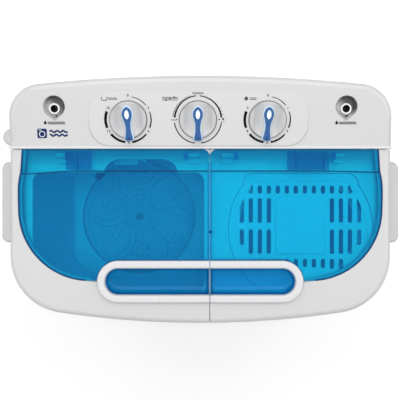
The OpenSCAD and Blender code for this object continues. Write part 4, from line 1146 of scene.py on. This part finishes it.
for s, side in SIDES:
    hollow = [(s * x, y) for x, y in rrect(283, 295.5, -52.5, 47.5, 2.5, 5)][::s]
    b = Build().add(*loft(layers((grip_loop(d, s), z) for d, z in GRIP_SKIN), cap_last=True))
    b.add(*loft(layers((hollow, z) for z in (GRIP_LOW, 619.0)), cap_last=True))
    vs, fs = flat_fill(grip_loop(0.0, s), [hollow])
    b.add([(x, y, GRIP_LOW) for x, y in vs], fs)
    b.make("grip_" + side, M_GRIP_BODY, "machine", "grey_plastic", replaces=("side_grip_" + side,))
    # painted shade: a darker strip along its steep outer face
    strip = [s * (x + 0.15) for x, _ in grip_corners(12, (-42, 0), 8)]
    ys = [y for _, y in grip_corners(12, (-42, 0), 8)]
    n = len(ys)
    v, f = loft([[(x + s * off, y, z) for x, y in zip(strip, ys)]
                 for off, z in ((0.0, 603.0), (0.0, 615.5), (-0.9, 615.5), (-0.9, 603.0))],
                wrap_row=False, wrap_rows=True)
    f += [(0, n, 2 * n, 3 * n), (n - 1, 4 * n - 1, 3 * n - 1, 2 * n - 1)]
    piece("grip_shade_strip_" + side, v, f, M_SIDE_GRIP_SHADE, "machine", "grey_plastic")

# ------------ stage, light and camera
bpy.ops.mesh.primitive_plane_add(size=30.0, location=(0, 0, 0))
floor = bpy.context.object
floor.name = "floor"
k = Look("floor_pale")
floor.data.materials.append(k.principled(
    Roughness=0.9,
    Base_Color=k.ramp(k.noise(0.7), (0.3, (0.955, 0.955, 0.955)), (0.7, (0.965, 0.965, 0.965)))))


def area(name, loc, target, size, power):
    d = bpy.data.lights.new(name, "AREA")
    d.shape = "RECTANGLE"
    d.size, d.size_y = size
    d.energy = power
    o = bpy.data.objects.new(name, d)
    o.location = loc
    o.rotation_euler = (Vector(target) - Vector(loc)).to_track_quat("-Z", "Y").to_euler()
    SCENE.collection.objects.link(o)
    return o


world = bpy.data.worlds.new("studio")
world.use_nodes = True
bg = world.node_tree.nodes["Background"]
bg.inputs["Color"].default_value = (1.0, 1.0, 1.0, 1.0)
bg.inputs["Strength"].default_value = 0.47
SCENE.world = world
area("key", (0.0, 1.15, 2.75), (0, 0, 0.5), (3.0, 1.3), 24.0)
area("left", (-2.0, 0.2, 2.0), (0, 0, 0.5), (1.2, 1.6), 9.0)
area("right", (2.0, 0.2, 2.0), (0, 0, 0.5), (1.2, 1.6), 10.0)
area("top", (0.0, 0.05, 2.8), (0, 0.05, 0.5), (0.7, 0.5), 30.0).visible_glossy = False

CAM_H = 0.93  # metres from the lids to the camera
CAM_HALF = 0.2936  # half of the width it sees there
cam_data = bpy.data.cameras.new("camera")
cam_data.sensor_width = 36.0
cam_data.sensor_fit = "HORIZONTAL"
cam_data.angle = 2 * atan(CAM_HALF / CAM_H)
cam_data.clip_end = 50.0
cam = bpy.data.objects.new("camera", cam_data)
cam.location = (-0.0004, 0.0009, LID_TOP * MM + CAM_H)
SCENE.collection.objects.link(cam)
SCENE.camera = cam
SCENE.view_settings.view_transform = "Standard"
